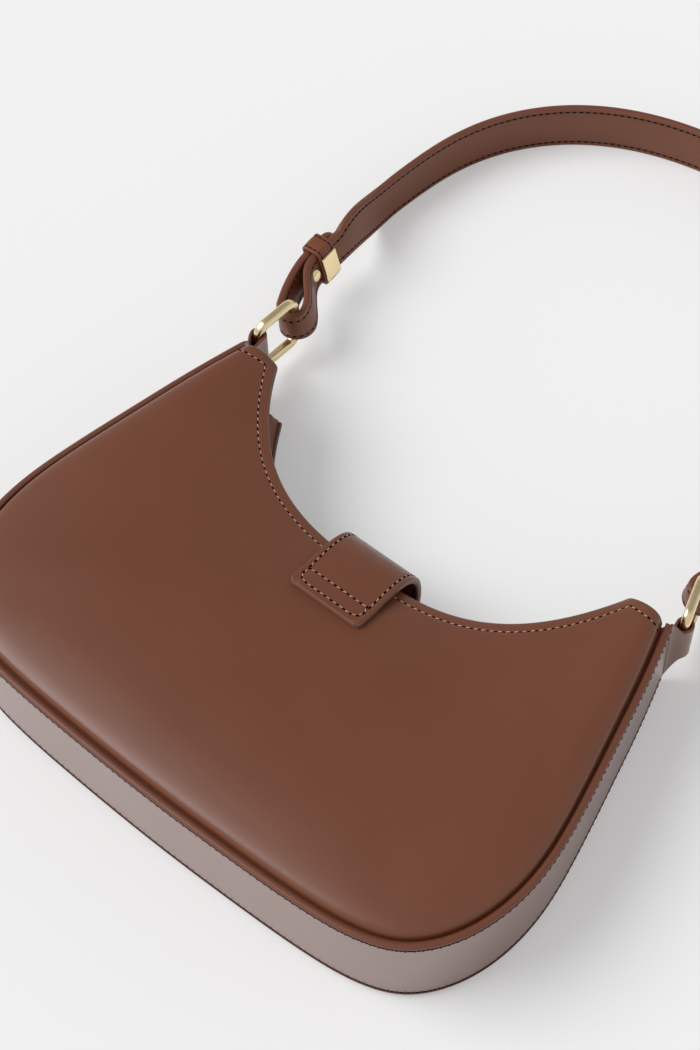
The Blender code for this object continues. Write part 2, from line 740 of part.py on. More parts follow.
def make_strap(parent):
    """The strap's two leathers, sewn back to back, which both fold round the rings at each end."""
    line, half, middle = strap_line()
    normal = left_normals(line)
    made = []
    for name, near, far in (
        ("strap_leather", GAP / 2, GAP / 2 + STRAP_LEATHER),
        ("strap_backing", -GAP / 2, -GAP / 2 - STRAP_LEATHER),
    ):
        grids = []
        for offset in (near, far):
            places = line + normal * offset
            grid = stack_rows([(places, middle - half), (places, middle + half)])
            grids.append(RIGHT.leaned(LEFT.leaned(grid)))
        made.append(sheet(name, grids[1], grids[0], "leather", parent))
    return made


def make_ring(end, parent):
    """A rectangular ring of bevelled wire, standing on edge from the gusset's loop to the strap's fold."""
    flat = WIRE_WIDTH / 2 - WIRE_CHAMFER
    edge = WIRE_WIDTH / 2
    section = [(edge, flat), (flat, edge), (-flat, edge), (-edge, flat)]
    section += [(-x, -y) for x, y in section]
    half_length, half_height = RING_LENGTH / 2, RING_HEIGHT / 2
    centre = (end.near + end.far) / 2
    across = np.array([end.ring_way[1], -end.ring_way[0]])
    loops = []
    for quarter in range(4):
        turn = quarter * math.pi / 2
        along = half_length * (1 if quarter in (0, 3) else -1)
        up = half_height * (1 if quarter in (0, 1) else -1)
        middle = np.array([along - math.copysign(RING_CORNER, along), up - math.copysign(RING_CORNER, up)])
        for k in range(RING_CORNER_STEPS):
            angle = turn + math.pi / 2 * k / (RING_CORNER_STEPS - 1)
            out = np.array([math.cos(angle), math.sin(angle)])
            loop = []
            for outward, sideways in section:
                spot = middle + out * (RING_CORNER + outward)
                place = centre + end.ring_way * spot[0] + across * sideways
                loop.append((*end.placed(place), PIVOT_HEIGHT + spot[1]))
            loops.append(loop)
    return closed_tube(f"ring_{end.name}", loops, "gold", parent, smooth_deg=30.0)


def rounded_rectangle(half_width, half_height, corner):
    """Points of a rectangle with rounded corners, in order."""
    points = []
    for quarter, (x, y) in enumerate(((1, 1), (-1, 1), (-1, -1), (1, -1))):
        for k in range(KEEPER_CORNER_STEPS):
            angle = math.pi / 2 * (quarter + k / (KEEPER_CORNER_STEPS - 1))
            centre_x, centre_y = x * (half_width - corner), y * (half_height - corner)
            points.append((centre_x + corner * math.cos(angle), centre_y + corner * math.sin(angle)))
    return points


def keeper_half_sizes():
    """Half the keeper's inner size across the strap's legs and over their width."""
    across = STRAP_THICKNESS + LEG_GAP / 2 + KEEPER_CLEARANCE
    return across, STRAP_END_WIDTH / 2 + KEEPER_CLEARANCE


def make_keeper(end, parent):
    """The leather band round both legs of the strap."""
    across, over = keeper_half_sizes()
    inner = rounded_rectangle(across, over, KEEPER_CORNER - KEEPER_WALL + GAP)
    outer = rounded_rectangle(across + KEEPER_WALL, over + KEEPER_WALL, KEEPER_CORNER)
    frame = end.axis_frame(end.keeper, PIVOT_HEIGHT)
    loops = []
    for shape, along in ((inner, -1), (outer, -1), (outer, 1), (inner, 1)):
        loops.append([frame @ Vector((x, along * KEEPER_LENGTH / 2, z)) for x, z in shape])
    return closed_tube(f"{end.name}_keeper", end.leaned(loops), "leather", parent)


def make_keeper_plate(end, parent):
    """The metal plate on the keeper's face, towards the bag."""
    across, _ = keeper_half_sizes()
    frame = end.axis_frame(end.keeper, PIVOT_HEIGHT)
    inner = across + KEEPER_WALL + GAP
    work = bmesh.new()
    bmesh.ops.create_cube(work, size=1.0)
    bmesh.ops.scale(work, vec=(PLATE_THICKNESS, PLATE_LENGTH, PLATE_HEIGHT), verts=work.verts)
    bmesh.ops.translate(work, vec=(inner + PLATE_THICKNESS / 2, 0, 0), verts=work.verts)
    bmesh.ops.bevel(work, geom=work.edges[:], offset=PLATE_BEVEL, segments=2, affect="EDGES", profile=0.5)
    work.transform(frame)
    points = end.leaned([tuple(v.co) for v in work.verts])
    faces = [tuple(v.index for v in f.verts) for f in work.faces]
    work.free()
    return new_object(f"{end.name}_keeper_plate", points, faces, "gold", parent)


def stud_frame(end):
    """A frame on the stud's axis, whose Z points into the bag, at the middle of the strap's two legs."""
    place = end.keeper - end.way * (KEEPER_LENGTH / 2 + STUD_SPACING)
    inside = Vector((*end.placed(end.inside), 0.0))
    frame = Matrix.Identity(4)
    up = Vector((0.0, 0.0, 1.0))
    frame.col[0] = (*up, 0.0)
    frame.col[1] = (*inside.cross(up), 0.0)
    frame.col[2] = (*inside, 0.0)
    frame.col[3] = (*end.placed(place), PIVOT_HEIGHT, 1.0)
    return frame


def make_stud(end, layers, parent):
    """The stud through both legs of the strap, and the cap that it screws into."""
    frame = stud_frame(end)
    face = STRAP_THICKNESS + LEG_GAP / 2 + GAP
    post_end = -face - STUD_BORE_DEPTH + GAP
    head = (
        (0, post_end),
        (STUD_POST_RADIUS, post_end),
        (STUD_POST_RADIUS, face),
        (STUD_HEAD_RADIUS - STUD_EDGE, face),
        (STUD_HEAD_RADIUS, face + STUD_EDGE),
        (STUD_HEAD_RADIUS, face + STUD_HEAD_HEIGHT / 2),
        (STUD_HEAD_RADIUS / 2, face + STUD_HEAD_HEIGHT),
        (0, face + STUD_HEAD_HEIGHT),
    )
    bore = STUD_POST_RADIUS + GAP
    cap = (
        (0, -face - STUD_CAP_HEIGHT),
        (STUD_CAP_RADIUS - STUD_EDGE, -face - STUD_CAP_HEIGHT),
        (STUD_CAP_RADIUS, -face - STUD_CAP_HEIGHT + STUD_EDGE),
        (STUD_CAP_RADIUS, -face),
        (bore, -face),
        (bore, -face - STUD_BORE_DEPTH),
        (0, -face - STUD_BORE_DEPTH),
    )
    stud = turned(f"{end.name}_stud", head, frame, "gold", parent, end)
    stud_cap = turned(f"{end.name}_stud_cap", cap, frame, "gold", parent, end)
    hole = cutter(f"{end.name}_stud_hole", STUD_POST_RADIUS + GAP, 2 * (face + STRAP_THICKNESS), frame)
    for layer in layers:
        cut(layer, hole)
    return [stud, stud_cap, hole]


class TabSeat:
    """Finds where the tab lies on the two panels, from their meshes."""

    def __init__(self, back_panel, front_panel):
        self.back = self.tree(back_panel)
        self.front = self.tree(front_panel)

    @staticmethod
    def tree(made):
        points = [v.co.copy() for v in made.data.vertices]
        faces = [tuple(f.vertices) for f in made.data.polygons]
        return BVHTree.FromPolygons(points, faces)

    def highest(self, y, half_width):
        """The back panel's highest point under a strip at y."""
        heights = []
        for share in (-1.0, -0.5, 0.0, 0.5, 1.0):
            hit = self.back.ray_cast(Vector((share * half_width, y, BODY_WIDTH)), Vector((0, 0, -1)))[0]
            heights.append(hit.z)
        return max(heights)

    def front_inside(self, y, half_width):
        """The highest point of the front panel's inner face over a spot of this half width."""
        heights = []
        above = FRONT_RIM_LIFT + DEPTH_AT_TOP / 2
        for across in (-1.0, 0.0, 1.0):
            for along in (-1.0, 0.0, 1.0):
                start = Vector((across * half_width, y + along * half_width, above))
                hit = self.front.ray_cast(start, Vector((0, 0, -1)))[0]
                heights.append(hit.z)
        return max(heights)


def tab_line(seat):
    """The tab's middle line in Y and Z: on the back panel, out over the mouth and back under the front."""
    half = TAB_THICKNESS / 2
    rounding = [TAB_CORNER * (1 - math.cos(k * math.pi / 2 / CORNER_STEPS)) for k in range(CORNER_STEPS + 1)]
    seated = np.linspace(TAB_CORNER, TAB_BACK_REACH - TAB_SPLIT, TAB_SEAT_STATIONS)
    stations = [d - TAB_BACK_REACH for d in (*rounding, *seated[1:])]
    top = np.array([(y, seat.highest(y, TAB_WIDTH / 2) + GAP + half) for y in stations])
    slope = math.radians(TAB_LEAVES_DEG)
    outermost = (-TAB_OUTER_REACH - half, TAB_TURN_HEIGHT)
    floor = GAP + half
    over = hermite(top[-1], slope, outermost, -math.pi / 2, TAB_TURN_STATIONS, TAB_TOP_FULLNESS)
    under = hermite(
        outermost, -math.pi / 2, (-TAB_LEAVES_FRONT, floor), -math.pi, TAB_TURN_STATIONS, TAB_FRONT_FULLNESS
    )
    from_tip = (TAB_FRONT_REACH - MAGNET_REACH, *rounding[::-1])
    bottom = np.array([(d - TAB_FRONT_REACH, floor) for d in from_tip])
    return np.concatenate([top, over[1:], under[1:], bottom]), len(top) - 1


def tab_halves(line):
    """Half the tab's width along its line, rounded off at both ends."""
    step = np.linalg.norm(np.diff(line, axis=0), axis=1)
    along = np.concatenate(([0.0], np.cumsum(step)))
    halves = []
    for distance in np.minimum(along, along[-1] - along):
        missing = TAB_CORNER - min(distance, TAB_CORNER)
        halves.append(TAB_WIDTH / 2 - TAB_CORNER + math.sqrt(max(TAB_CORNER**2 - missing**2, 0.0)))
    return np.array(halves)


def tab_sheet(name, line, halves, near, far, parent):
    normal = left_normals(line)
    grids = []
    for offset in (near, far):
        places = line + normal * offset
        rows = []
        for side in (-1, 1):
            rows.append([(side * h, y, z) for h, (y, z) in zip(halves, places)])
        grids.append(np.array(rows))
    return sheet(name, grids[0], grids[1], "leather", parent)


def make_tab(seat, root, hinge):
    """The closing tab: two leathers, sewn to the back panel at one end and free at the other."""
    line, split = tab_line(seat)
    halves = tab_halves(line)
    way = line[split + 1] - line[split - 1]
    way /= np.linalg.norm(way)
    sewn, free = line[: split + 1].copy(), line[split:].copy()
    sewn[-1] -= way * GAP / 2
    free[0] += way * GAP / 2
    outer = (TAB_THICKNESS / 2, GAP / 2)
    inner = (-GAP / 2, -TAB_THICKNESS / 2)
    tab_sheet("tab_sewn_end_leather", sewn, halves[: split + 1], *outer, root)
    tab_sheet("tab_sewn_end_backing", sewn, halves[: split + 1], *inner, root)
    leather = tab_sheet("tab_leather", free, halves[split:], *outer, None)
    backing = tab_sheet("tab_backing", free, halves[split:], *inner, None)
    outward = np.array([-way[1], way[0]])
    hinge.location = (0.0, *(line[split] + outward * TAB_THICKNESS / 2))
    spot = Matrix.Translation((0.0, -MAGNET_REACH, GAP + TAB_THICKNESS / 2))
    recess = cutter("tab_magnet_recess", MAGNET_RADIUS + GAP, 2 * (TAB_MAGNET_RECESS + GAP / 2), spot)
    thick = TAB_MAGNET_THICKNESS / 2
    disc = ((0, -thick), (MAGNET_RADIUS, -thick), (MAGNET_RADIUS, thick), (0, thick))
    magnet = turned("tab_magnet", disc, spot, "magnet")
    for made in (leather, backing):
        cut(made, recess)
    for made in (leather, backing, recess, magnet):
        seat_on(made, hinge)


def make_panel_magnet(seat, padding, root):
    """The magnet behind the front panel, in a hole in its padding."""
    low = seat.front_inside(-MAGNET_REACH, MAGNET_RADIUS) + GAP
    high = PANEL_MAGNET_THICKNESS
    profile = ((0, 0), (MAGNET_RADIUS, 0), (MAGNET_RADIUS, high), (0, high))
    turned("panel_magnet", profile, Matrix.Translation((0.0, -MAGNET_REACH, low)), "magnet", root)
    spot = Matrix.Translation((0.0, -MAGNET_REACH, low))
    hole = cutter("panel_magnet_hole", MAGNET_RADIUS + GAP, 4 * PADDING_DEPTH, spot)
    hole.parent = root
    cut(padding, hole)


def main():
    clear_scene()
    body = Body()
    root = empty_at("handbag", (0.0, -(BOX_FRONT + BOX_BACK) / 2, 0.0))
    back_panel = make_panel("back_panel", body, True, root)
    front_panel = make_panel("front_panel", body, False, root)
    make_padding("back_padding", body, True, root)
    front_padding = make_padding("front_padding", body, False, root)
    make_board("back_board", body, True, root)
    make_board("front_board", body, False, root)
    make_lining(body, root)
    make_gusset(body, root)
    make_gusset_stiffener(body, root)
    pivots = {}
    for end in (LEFT, RIGHT):
        pivots[end.name] = empty_at(f"{end.name}_ring_pivot", (*end.placed(end.near), PIVOT_HEIGHT), root)
        seat_on(make_ring(end, None), pivots[end.name])
    strap_pivot = empty_at("strap_pivot", (*LEFT.placed(LEFT.far), PIVOT_HEIGHT), root)
    layers = make_strap(None)
    loose = list(layers)
    for end in (LEFT, RIGHT):
        loose += make_stud(end, layers, None)
        slide = empty_at(f"{end.name}_keeper_slide", (*end.placed(end.keeper), PIVOT_HEIGHT), root)
        for made in (make_keeper(end, None), make_keeper_plate(end, None)):
            seat_on(made, slide)
    for made in loose:
        seat_on(made, strap_pivot)
    seat = TabSeat(back_panel, front_panel)
    make_tab(seat, root, empty_at("tab_hinge", (0.0, 0.0, 0.0), root))
    make_panel_magnet(seat, front_padding, root)


main()
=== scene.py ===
"""A half-moon shoulder bag of smooth brown leather, lying on its front panel on a pale table."""

import logging
import math
from collections.abc import Callable, Mapping, Sequence
from dataclasses import dataclass
from enum import Enum
from functools import cache

import bmesh
import bpy
import numpy as np
from mathutils import Matrix, Vector
from mathutils.bvhtree import BVHTree


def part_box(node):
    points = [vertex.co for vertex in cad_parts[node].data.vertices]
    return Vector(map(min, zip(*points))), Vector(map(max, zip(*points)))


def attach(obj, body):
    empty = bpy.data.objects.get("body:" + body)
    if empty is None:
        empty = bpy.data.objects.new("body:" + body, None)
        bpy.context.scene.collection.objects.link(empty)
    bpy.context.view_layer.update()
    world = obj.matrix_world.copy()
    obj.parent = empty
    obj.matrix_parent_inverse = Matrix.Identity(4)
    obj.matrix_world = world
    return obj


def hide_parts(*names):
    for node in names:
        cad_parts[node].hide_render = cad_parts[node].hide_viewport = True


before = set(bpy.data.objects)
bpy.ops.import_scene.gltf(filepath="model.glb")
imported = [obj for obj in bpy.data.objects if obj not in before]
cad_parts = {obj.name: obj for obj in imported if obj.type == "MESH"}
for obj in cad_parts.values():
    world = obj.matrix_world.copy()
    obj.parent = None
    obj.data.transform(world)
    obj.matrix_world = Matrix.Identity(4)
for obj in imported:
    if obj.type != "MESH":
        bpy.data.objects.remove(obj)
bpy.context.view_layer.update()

log = logging.getLogger("bag")

Number = float | int
Pair = tuple[float, float]
Colour = tuple[float, float, float]
Piece = bpy.types.Object
Array = np.ndarray
Rows = tuple[Array, Array]
UP = Vector((0.0, 0.0, 1.0))
FINE_STEPS = 4001


# Shader graph


class Wire:
    """One value in a material's graph. Sums and products of it add Math nodes."""

    def __init__(self, graph: "Graph", socket: bpy.types.NodeSocket | None) -> None:
        """Keeps the graph and the output socket that carries the value."""
        self.graph = graph
        self.socket = socket

    def _math(self, operation: str, *values: "Wire | Number") -> "Wire":
        """Adds one Math node on these values."""
        return self.graph.add("ShaderNodeMath", {"operation": operation}, dict(enumerate(values)))

    def __add__(self, other: "Wire | Number") -> "Wire":
        """The sum with another value."""
        return self._math("ADD", self, other)

    def __radd__(self, other: Number) -> "Wire":
        """The sum with a plain number on the left."""
        return self._math("ADD", other, self)

    def __sub__(self, other: "Wire | Number") -> "Wire":
        """The difference from another value."""
        return self._math("SUBTRACT", self, other)

    def __rsub__(self, other: Number) -> "Wire":
        """A plain number less this value."""
        return self._math("SUBTRACT", other, self)

    def __mul__(self, other: "Wire | Number") -> "Wire":
        """The product with another value."""
        return self._math("MULTIPLY", self, other)

    def __rmul__(self, other: Number) -> "Wire":
        """The product with a plain number on the left."""
        return self._math("MULTIPLY", other, self)

Value = Wire | Number | Sequence[float]


class Graph:
    """The node tree of a material or a world, with one method that adds any node to it."""

    def __init__(self, owner: bpy.types.Material | bpy.types.World) -> None:
        """Empties the node tree of the material or world that the nodes are for."""
        owner.use_nodes = True
        self.owner = owner
        self.tree = owner.node_tree
        self.tree.nodes.clear()

    def add(
        self,
        kind: str,
        settings: Mapping[str, object] | None = None,
        values: Mapping[str | int, Value] | None = None,
        output: str | int = 0,
    ) -> Wire:
        """Adds a node.

        Args:
            kind: The node's type.
            settings: Its properties, set first.
            values: Values or links of its input sockets, by name or number.
            output: The output socket to hand back.

        Returns:
            The chosen output.
        """
        node = self.tree.nodes.new(kind)
        for name, setting in (settings or {}).items():
            setattr(node, name, setting)
        for name, value in (values or {}).items():
            self._feed(node.inputs[name], value)
        return Wire(self, node.outputs[output] if len(node.outputs) else None)

    def _feed(self, socket: bpy.types.NodeSocket, value: Value) -> None:
        """Links a wire to an input socket, or sets a plain value on it."""
        if isinstance(value, Wire):
            self.tree.links.new(value.socket, socket)
        elif isinstance(value, (int, float)):
            socket.default_value = value
        else:
            room = len(socket.default_value)
            socket.default_value = (*value, 1.0)[:room] if len(value) < room else tuple(value)

    def place(self) -> Wire:
        """The point's place on the object, in metres."""
        return self.add("ShaderNodeTexCoord", output="Object")

    def noise(self, size: float, detail: float = 2.0, roughness: float = 0.5) -> Wire:
        """Noise from 0 to 1 by its blotches' size in metres, its finer octaves and their strength."""
        values = {"Vector": self.place(), "Scale": 1.0 / size, "Detail": detail, "Roughness": roughness}
        return self.add("ShaderNodeTexNoise", values=values)

    def blend(self, share: Value, first: Value, second: Value) -> Wire:
        """Mixes two colours by the second one's share."""
        settings = {"data_type": "RGBA", "blend_type": "MIX"}
        return self.add("ShaderNodeMix", settings, {0: share, 6: first, 7: second}, output=2)

    def bump(self, height: Wire, depth: float, under: Wire | None = None) -> Wire:
        """A normal from a height, the depth in metres that 1 stands for and the normal under it."""
        values: dict[str | int, Value] = {"Height": height, "Distance": depth}
        if under is not None:
            values["Normal"] = under
        return self.add("ShaderNodeBump", values=values)

    def finish(self, values: Mapping[str | int, Value]) -> bpy.types.Material:
        """Ends the graph in a Principled surface with these values and links, and gives its material."""
        surface = self.add("ShaderNodeBsdfPrincipled", values=values)
        self.add("ShaderNodeOutputMaterial", values={"Surface": surface})
        return self.owner


# Finishes


@dataclass(frozen=True)
class Leather:
    """Smooth finished leather with a fine grain and a soft gloss."""

    name: str
    colour: Colour = (0.158, 0.0465, 0.0180)
    dark_colour: Colour = (0.134, 0.0372, 0.0136)
    roughness: float = 0.42
    roughness_change: float = 0.10
    coat: float = 0.42
    coat_roughness: float = 0.30
    coat_ior: float = 1.45
    specular: float = 0.40
    grain_size: float = 0.00050
    grain_depth: float = 0.000022
    pore_size: float = 0.0011
    pore_depth: float = 0.000012
    cloud_size: float = 0.035
    cloud_share: float = 0.8

    def material(self) -> bpy.types.Material:
        """Builds the leather's material."""
        graph = Graph(bpy.data.materials.new(self.name))
        cloud = graph.noise(self.cloud_size, 3.0)
        grain = graph.noise(self.grain_size, roughness=0.6)
        spots = {"Vector": graph.place(), "Scale": 1.0 / self.pore_size}
        pores = graph.add("ShaderNodeTexVoronoi", {"feature": "F1"}, spots)
        share = cloud * self.cloud_share + grain * (1 - self.cloud_share)
        normal = graph.bump(pores, self.pore_depth)
        normal = graph.bump(grain, self.grain_depth, under=normal)
        values = {
            "Base Color": graph.blend(share, self.dark_colour, self.colour),
            "Roughness": self.roughness + (cloud - 0.5) * self.roughness_change,
            "Coat Weight": self.coat,
            "Coat Roughness": self.coat_roughness,
            "Coat IOR": self.coat_ior,
            "Specular IOR Level": self.specular,
            "Normal": normal,
        }
        return graph.finish(values)


@dataclass(frozen=True)
class EdgePaint(Leather):
    """Paint on a raw edge: leather without pores."""

    coat: float = 0.15
    grain_depth: float = 0.000006
    pore_depth: float = 0.0


@dataclass(frozen=True)
class Gold:
    """Polished pale gold plating with faint hairlines."""

    name: str
    colour: Colour = (0.95, 0.80, 0.50)
    warm_colour: Colour = (0.90, 0.71, 0.40)
    roughness: float = 0.19
    hair_size: float = 0.0009
    hair_depth: float = 0.0000025
    cloud_size: float = 0.006
    roughness_change: float = 0.07

    def material(self) -> bpy.types.Material:
        """Builds the metal's material."""
        graph = Graph(bpy.data.materials.new(self.name))
        cloud = graph.noise(self.cloud_size)
        hair = graph.noise(self.hair_size, 3.0)
        values = {
            "Base Color": graph.blend(cloud, self.warm_colour, self.colour),
            "Metallic": 1.0,
            "Roughness": self.roughness + cloud * self.roughness_change,
            "Normal": graph.bump(hair, self.hair_depth),
        }
        return graph.finish(values)


@dataclass(frozen=True)
class Matt:
    """A matt stuff such as thread, foam, board or lining cloth, with its own small texture."""

    name: str
    colour: Colour
    dark_colour: Colour
    size: float
    depth: float
    roughness: float = 0.8
    metallic: float = 0.0
    woven: bool = False
    specular: float = 0.5
    cloud_scale: float = 12.0
    cloud_share: float = 0.4
    roughness_change: float = 0.1

    def material(self) -> bpy.types.Material:
        """Builds the stuff's material."""
        graph = Graph(bpy.data.materials.new(self.name))
        height = self._weave(graph) if self.woven else graph.noise(self.size, 3.0, roughness=0.6)
        cloud = graph.noise(self.size * self.cloud_scale)
        share = height * (1 - self.cloud_share) + cloud * self.cloud_share
        values = {
            "Base Color": graph.blend(share, self.dark_colour, self.colour),
            "Roughness": self.roughness + (cloud - 0.5) * self.roughness_change,
            "Metallic": self.metallic,
            "Specular IOR Level": self.specular,
            "Normal": graph.bump(height, self.depth),
        }
        return graph.finish(values)

    def _weave(self, graph: Graph) -> Wire:
        """Two crossed sets of threads, from 0 to 1."""
        sets = []
        for axis, turn in (("X", 0), ("Y", 1)):
            settings = {"wave_type": "BANDS", "bands_direction": axis, "wave_profile": "SIN"}
            values = {"Vector": graph.place(), "Scale": 1.0 / self.size / 3}
            values["Phase Offset"] = turn * math.pi / 2
            sets.append(graph.add("ShaderNodeTexWave", settings, values, output="Fac"))
        return sets[0] * 0.5 + sets[1] * 0.5


STRAP_COLOURS: tuple[Colour, Colour] = ((0.185, 0.0560, 0.0230), (0.152, 0.0440, 0.0172))


class Finish(Enum):
    """The bag's finishes."""

    BODY = Leather("body_leather")
    STRAP = Leather("strap_leather_finish", *STRAP_COLOURS, coat=0.18, cloud_size=0.02)
    BACKING = Leather("backing_leather", *STRAP_COLOURS, 0.46, coat=0.15, cloud_size=0.02)
    GUSSET = Leather("gusset_leather_finish", coat=1.0, coat_ior=1.85)
    EDGE = EdgePaint("painted_edge", (0.158, 0.0470, 0.0210), (0.128, 0.0360, 0.0155), 0.48, grain_depth=8e-6)
    # The tab's edge paint is lighter and pinker than the other edges: painted highlight for the light that
    # the tab's edges catch.
    TAB_EDGE = EdgePaint("tab_edge_paint", (0.225, 0.1000, 0.0700), (0.180, 0.0760, 0.0510), coat=0.30)
    MOUTH_EDGE = EdgePaint("mouth_edge_paint", (0.150, 0.0900, 0.0620), (0.115, 0.0660, 0.0450), 0.50)
    GOLD = Gold("pale_gold")
    THREAD = Matt("tan_thread", (0.74, 0.48, 0.37), (0.52, 0.30, 0.22), 0.00025, 4e-5, 0.55)
    DARK_THREAD = Matt("brown_thread", (0.060, 0.020, 0.011), (0.036, 0.012, 0.006), 0.00025, 4e-5, 0.6)
    # Needle holes: near black with little gloss, painted shade for the shadow down in each hole.
    HOLE = Matt("needle_hole", (0.012, 0.004, 0.003), (0.006, 0.002, 0.002), 0.0004, 1e-5, 0.9, specular=0.05)
    LINING = Matt("lining_cloth", (0.060, 0.034, 0.024), (0.034, 0.018, 0.012), 0.0006, 5e-5, 0.9, woven=True)
    FOAM = Matt("foam", (0.62, 0.58, 0.50), (0.50, 0.46, 0.39), 0.0008, 0.0001, 0.95)
    BOARD = Matt("fibre_board", (0.25, 0.17, 0.11), (0.17, 0.11, 0.07), 0.0012, 5e-5, 0.85)
    MAGNET = Matt("plated_magnet", (0.50, 0.50, 0.52), (0.40, 0.40, 0.42), 0.001, 5e-6, 0.3, 1.0)


@cache
def dressed(finish: Finish) -> bpy.types.Material:
    """The material of a finish, built once."""
    return finish.value.material()


# Meshes and curves


def in_scene(name: str, data: bpy.types.ID) -> Piece:
    """A new object in the scene with this mesh, lamp or camera."""
    thing = bpy.data.objects.new(name, data)
    bpy.context.scene.collection.objects.link(thing)
    return thing


def new_piece(
    name: str,
    points: Array,
    faces: Sequence[Sequence[int]],
    finishes: Sequence[Finish],
    slots: Sequence[int] | None = None,
    sharp_deg: float = 50.0,
) -> Piece:
    """Makes a mesh object in its finishes, with its faces turned outwards.

    Args:
        name: The piece's name.
        points: Its points.
        faces: Its faces, as point numbers.
        finishes: One finish for each material slot.
        slots: The material slot of each face, or none for the first.
        sharp_deg: Edges that turn more than this stay sharp.

    Returns:
        The object.
    """
    mesh = bpy.data.meshes.new(name)
    mesh.from_pydata(np.asarray(points, float).reshape(-1, 3).tolist(), [], [list(f) for f in faces])
    if slots is not None:
        mesh.polygons.foreach_set("material_index", np.asarray(slots, np.int32))
    work = bmesh.new()
    work.from_mesh(mesh)
    bmesh.ops.recalc_face_normals(work, faces=work.faces)
    work.to_mesh(mesh)
    work.free()
    for finish in finishes:
        mesh.materials.append(dressed(finish))
    mesh.shade_smooth()
    mesh.set_sharp_from_angle(angle=math.radians(sharp_deg))
    return in_scene(name, mesh)


def settle(piece: Piece, body: str, slot: str, *nodes: str) -> None:
    """Puts a piece on its body, in place of the nodes that it stands for.

    Args:
        piece: The piece.
        body: The body that it rides on.
        slot: Not used.
        nodes: The nodes that it replaces.
    """
    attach(piece, body)
    if nodes:
        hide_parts(*nodes)
    log.info("%s rides on %s and replaces %s", piece.name, body, ", ".join(nodes) or "nothing")


def wall_faces(rows: int, columns: int, closed_rows: bool = False, closed_columns: bool = False) -> Array:
    """The quads of a grid of points.

    Args:
        rows: How many rows it has.
        columns: How many columns it has.
        closed_rows: Whether its last row joins the first.
        closed_columns: Whether its last column joins the first.

    Returns:
        The four point numbers of each quad.
    """
    row_steps, column_steps = rows - (not closed_rows), columns - (not closed_columns)
    r, c = np.meshgrid(np.arange(row_steps), np.arange(column_steps), indexing="ij")
    r, c = r.ravel(), c.ravel()
    over, beside = (r + 1) % rows, (c + 1) % columns
    corners = [r * columns + c, r * columns + beside, over * columns + beside, over * columns + c]
    return np.stack(corners, axis=1)


def repeated(faces: Sequence[Sequence[int]], starts: Sequence[int]) -> list[list[int]]:
    """The same faces over again, from each starting point number."""
    return [[k + start for k in face] for start in starts for face in faces]


def tube_piece(name: str, loops: Array, finish: Finish, closed: bool = False) -> Piece:
    """A solid through loops of points, closed on itself or capped at both ends.

    Args:
        name: The piece's name.
        loops: Its loops, one after the other.
        finish: Its finish.
        closed: Whether its last loop joins the first.

    Returns:
        The piece.
    """
    count, around = loops.shape[:2]
    faces = wall_faces(count, around, closed_rows=closed, closed_columns=True).tolist()
    if not closed:
        faces.append(list(range(around))[::-1])
        faces.append(list(range((count - 1) * around, count * around)))
    return new_piece(name, loops, faces, [finish])


def slab_piece(name: str, upper: Array, lower: Array, finish: Finish) -> Piece:
    """A closed slab between two grids of points with the same rows and columns.

    Args:
        name: The piece's name.
        upper: The points of one face.
        lower: The points of the other.
        finish: Its finish.

    Returns:
        The piece.
    """
    rows, columns = len(upper), upper.shape[1]
    faces = wall_faces(2 * rows, columns, closed_rows=True).tolist()
    for column in (0, columns - 1):
        for k in range(rows - 1):
            pair = [k, k + 1, 2 * rows - 2 - k, 2 * rows - 1 - k]
            faces.append([r * columns + column for r in pair])
    return new_piece(name, np.concatenate([upper, lower[::-1]]), faces, [finish])


def natural_spline(points: Sequence[Pair], count: int = 4000) -> Array:
    """A fine polyline along the natural cubic spline through 2-D points.

    Args:
        points: The points that it goes through.
        count: How many points it is given.

    Returns:
        The polyline.
    """
    given = np.asarray(points, float)
    knots = np.concatenate(([0.0], np.cumsum(np.linalg.norm(np.diff(given, axis=0), axis=1))))
    step = np.diff(knots)
    size = len(given)
    matrix = np.eye(size)
    right = np.zeros_like(given)
    slope = np.diff(given, axis=0) / step[:, None]
    for k in range(1, size - 1):
        matrix[k, k - 1 : k + 2] = step[k - 1], 2 * (step[k - 1] + step[k]), step[k]
        right[k] = 6 * (slope[k] - slope[k - 1])
    bend = np.linalg.solve(matrix, right)
    fine = np.linspace(0.0, knots[-1], count)
    span = np.clip(np.searchsorted(knots, fine, side="right") - 1, 0, size - 2)
    width = step[span][:, None]
    along = (fine - knots[span])[:, None]
    left = width - along
    cubic = (bend[span] * left**3 + bend[span + 1] * along**3) / (6 * width)
    start = (given[span] / width - bend[span] * width / 6) * left
    return cubic + start + (given[span + 1] / width - bend[span + 1] * width / 6) * along


def lengths(line: Array) -> Array:
    """The distance along a line to each of its points."""
    return np.concatenate(([0.0], np.cumsum(np.linalg.norm(np.diff(line, axis=0), axis=1))))


def resampled(line: Array, count: int, bend_share: float = 0.0) -> Array:
    """Points spaced evenly along a line, and closer where it turns.

    Args:
        line: The line's points.
        count: How many points are wanted.
        bend_share: The share of them that goes by how far the line turns.

    Returns:
        The points.
    """
    step = np.diff(line, axis=0)
    length = np.linalg.norm(step, axis=1)
    heading = np.unwrap(np.arctan2(step[:, 1], step[:, 0]))
    turning = np.abs(np.diff(heading, prepend=heading[0]))
    weight = (1 - bend_share) * length / length.sum() + bend_share * turning / max(turning.sum(), 1e-9)
    place = np.concatenate(([0.0], np.cumsum(weight)))
    return at_places(line, place, np.linspace(0.0, place[-1], count))


def at_places(values: Array, knots: Array, wanted: Array) -> Array:
    """Reads the columns of a table at wanted places between its knots."""
    return np.stack([np.interp(wanted, knots, values[:, k]) for k in range(values.shape[1])], axis=1)


def unit(vectors: Array) -> Array:
    """The vectors at length 1."""
    return vectors / np.linalg.norm(vectors, axis=-1, keepdims=True)


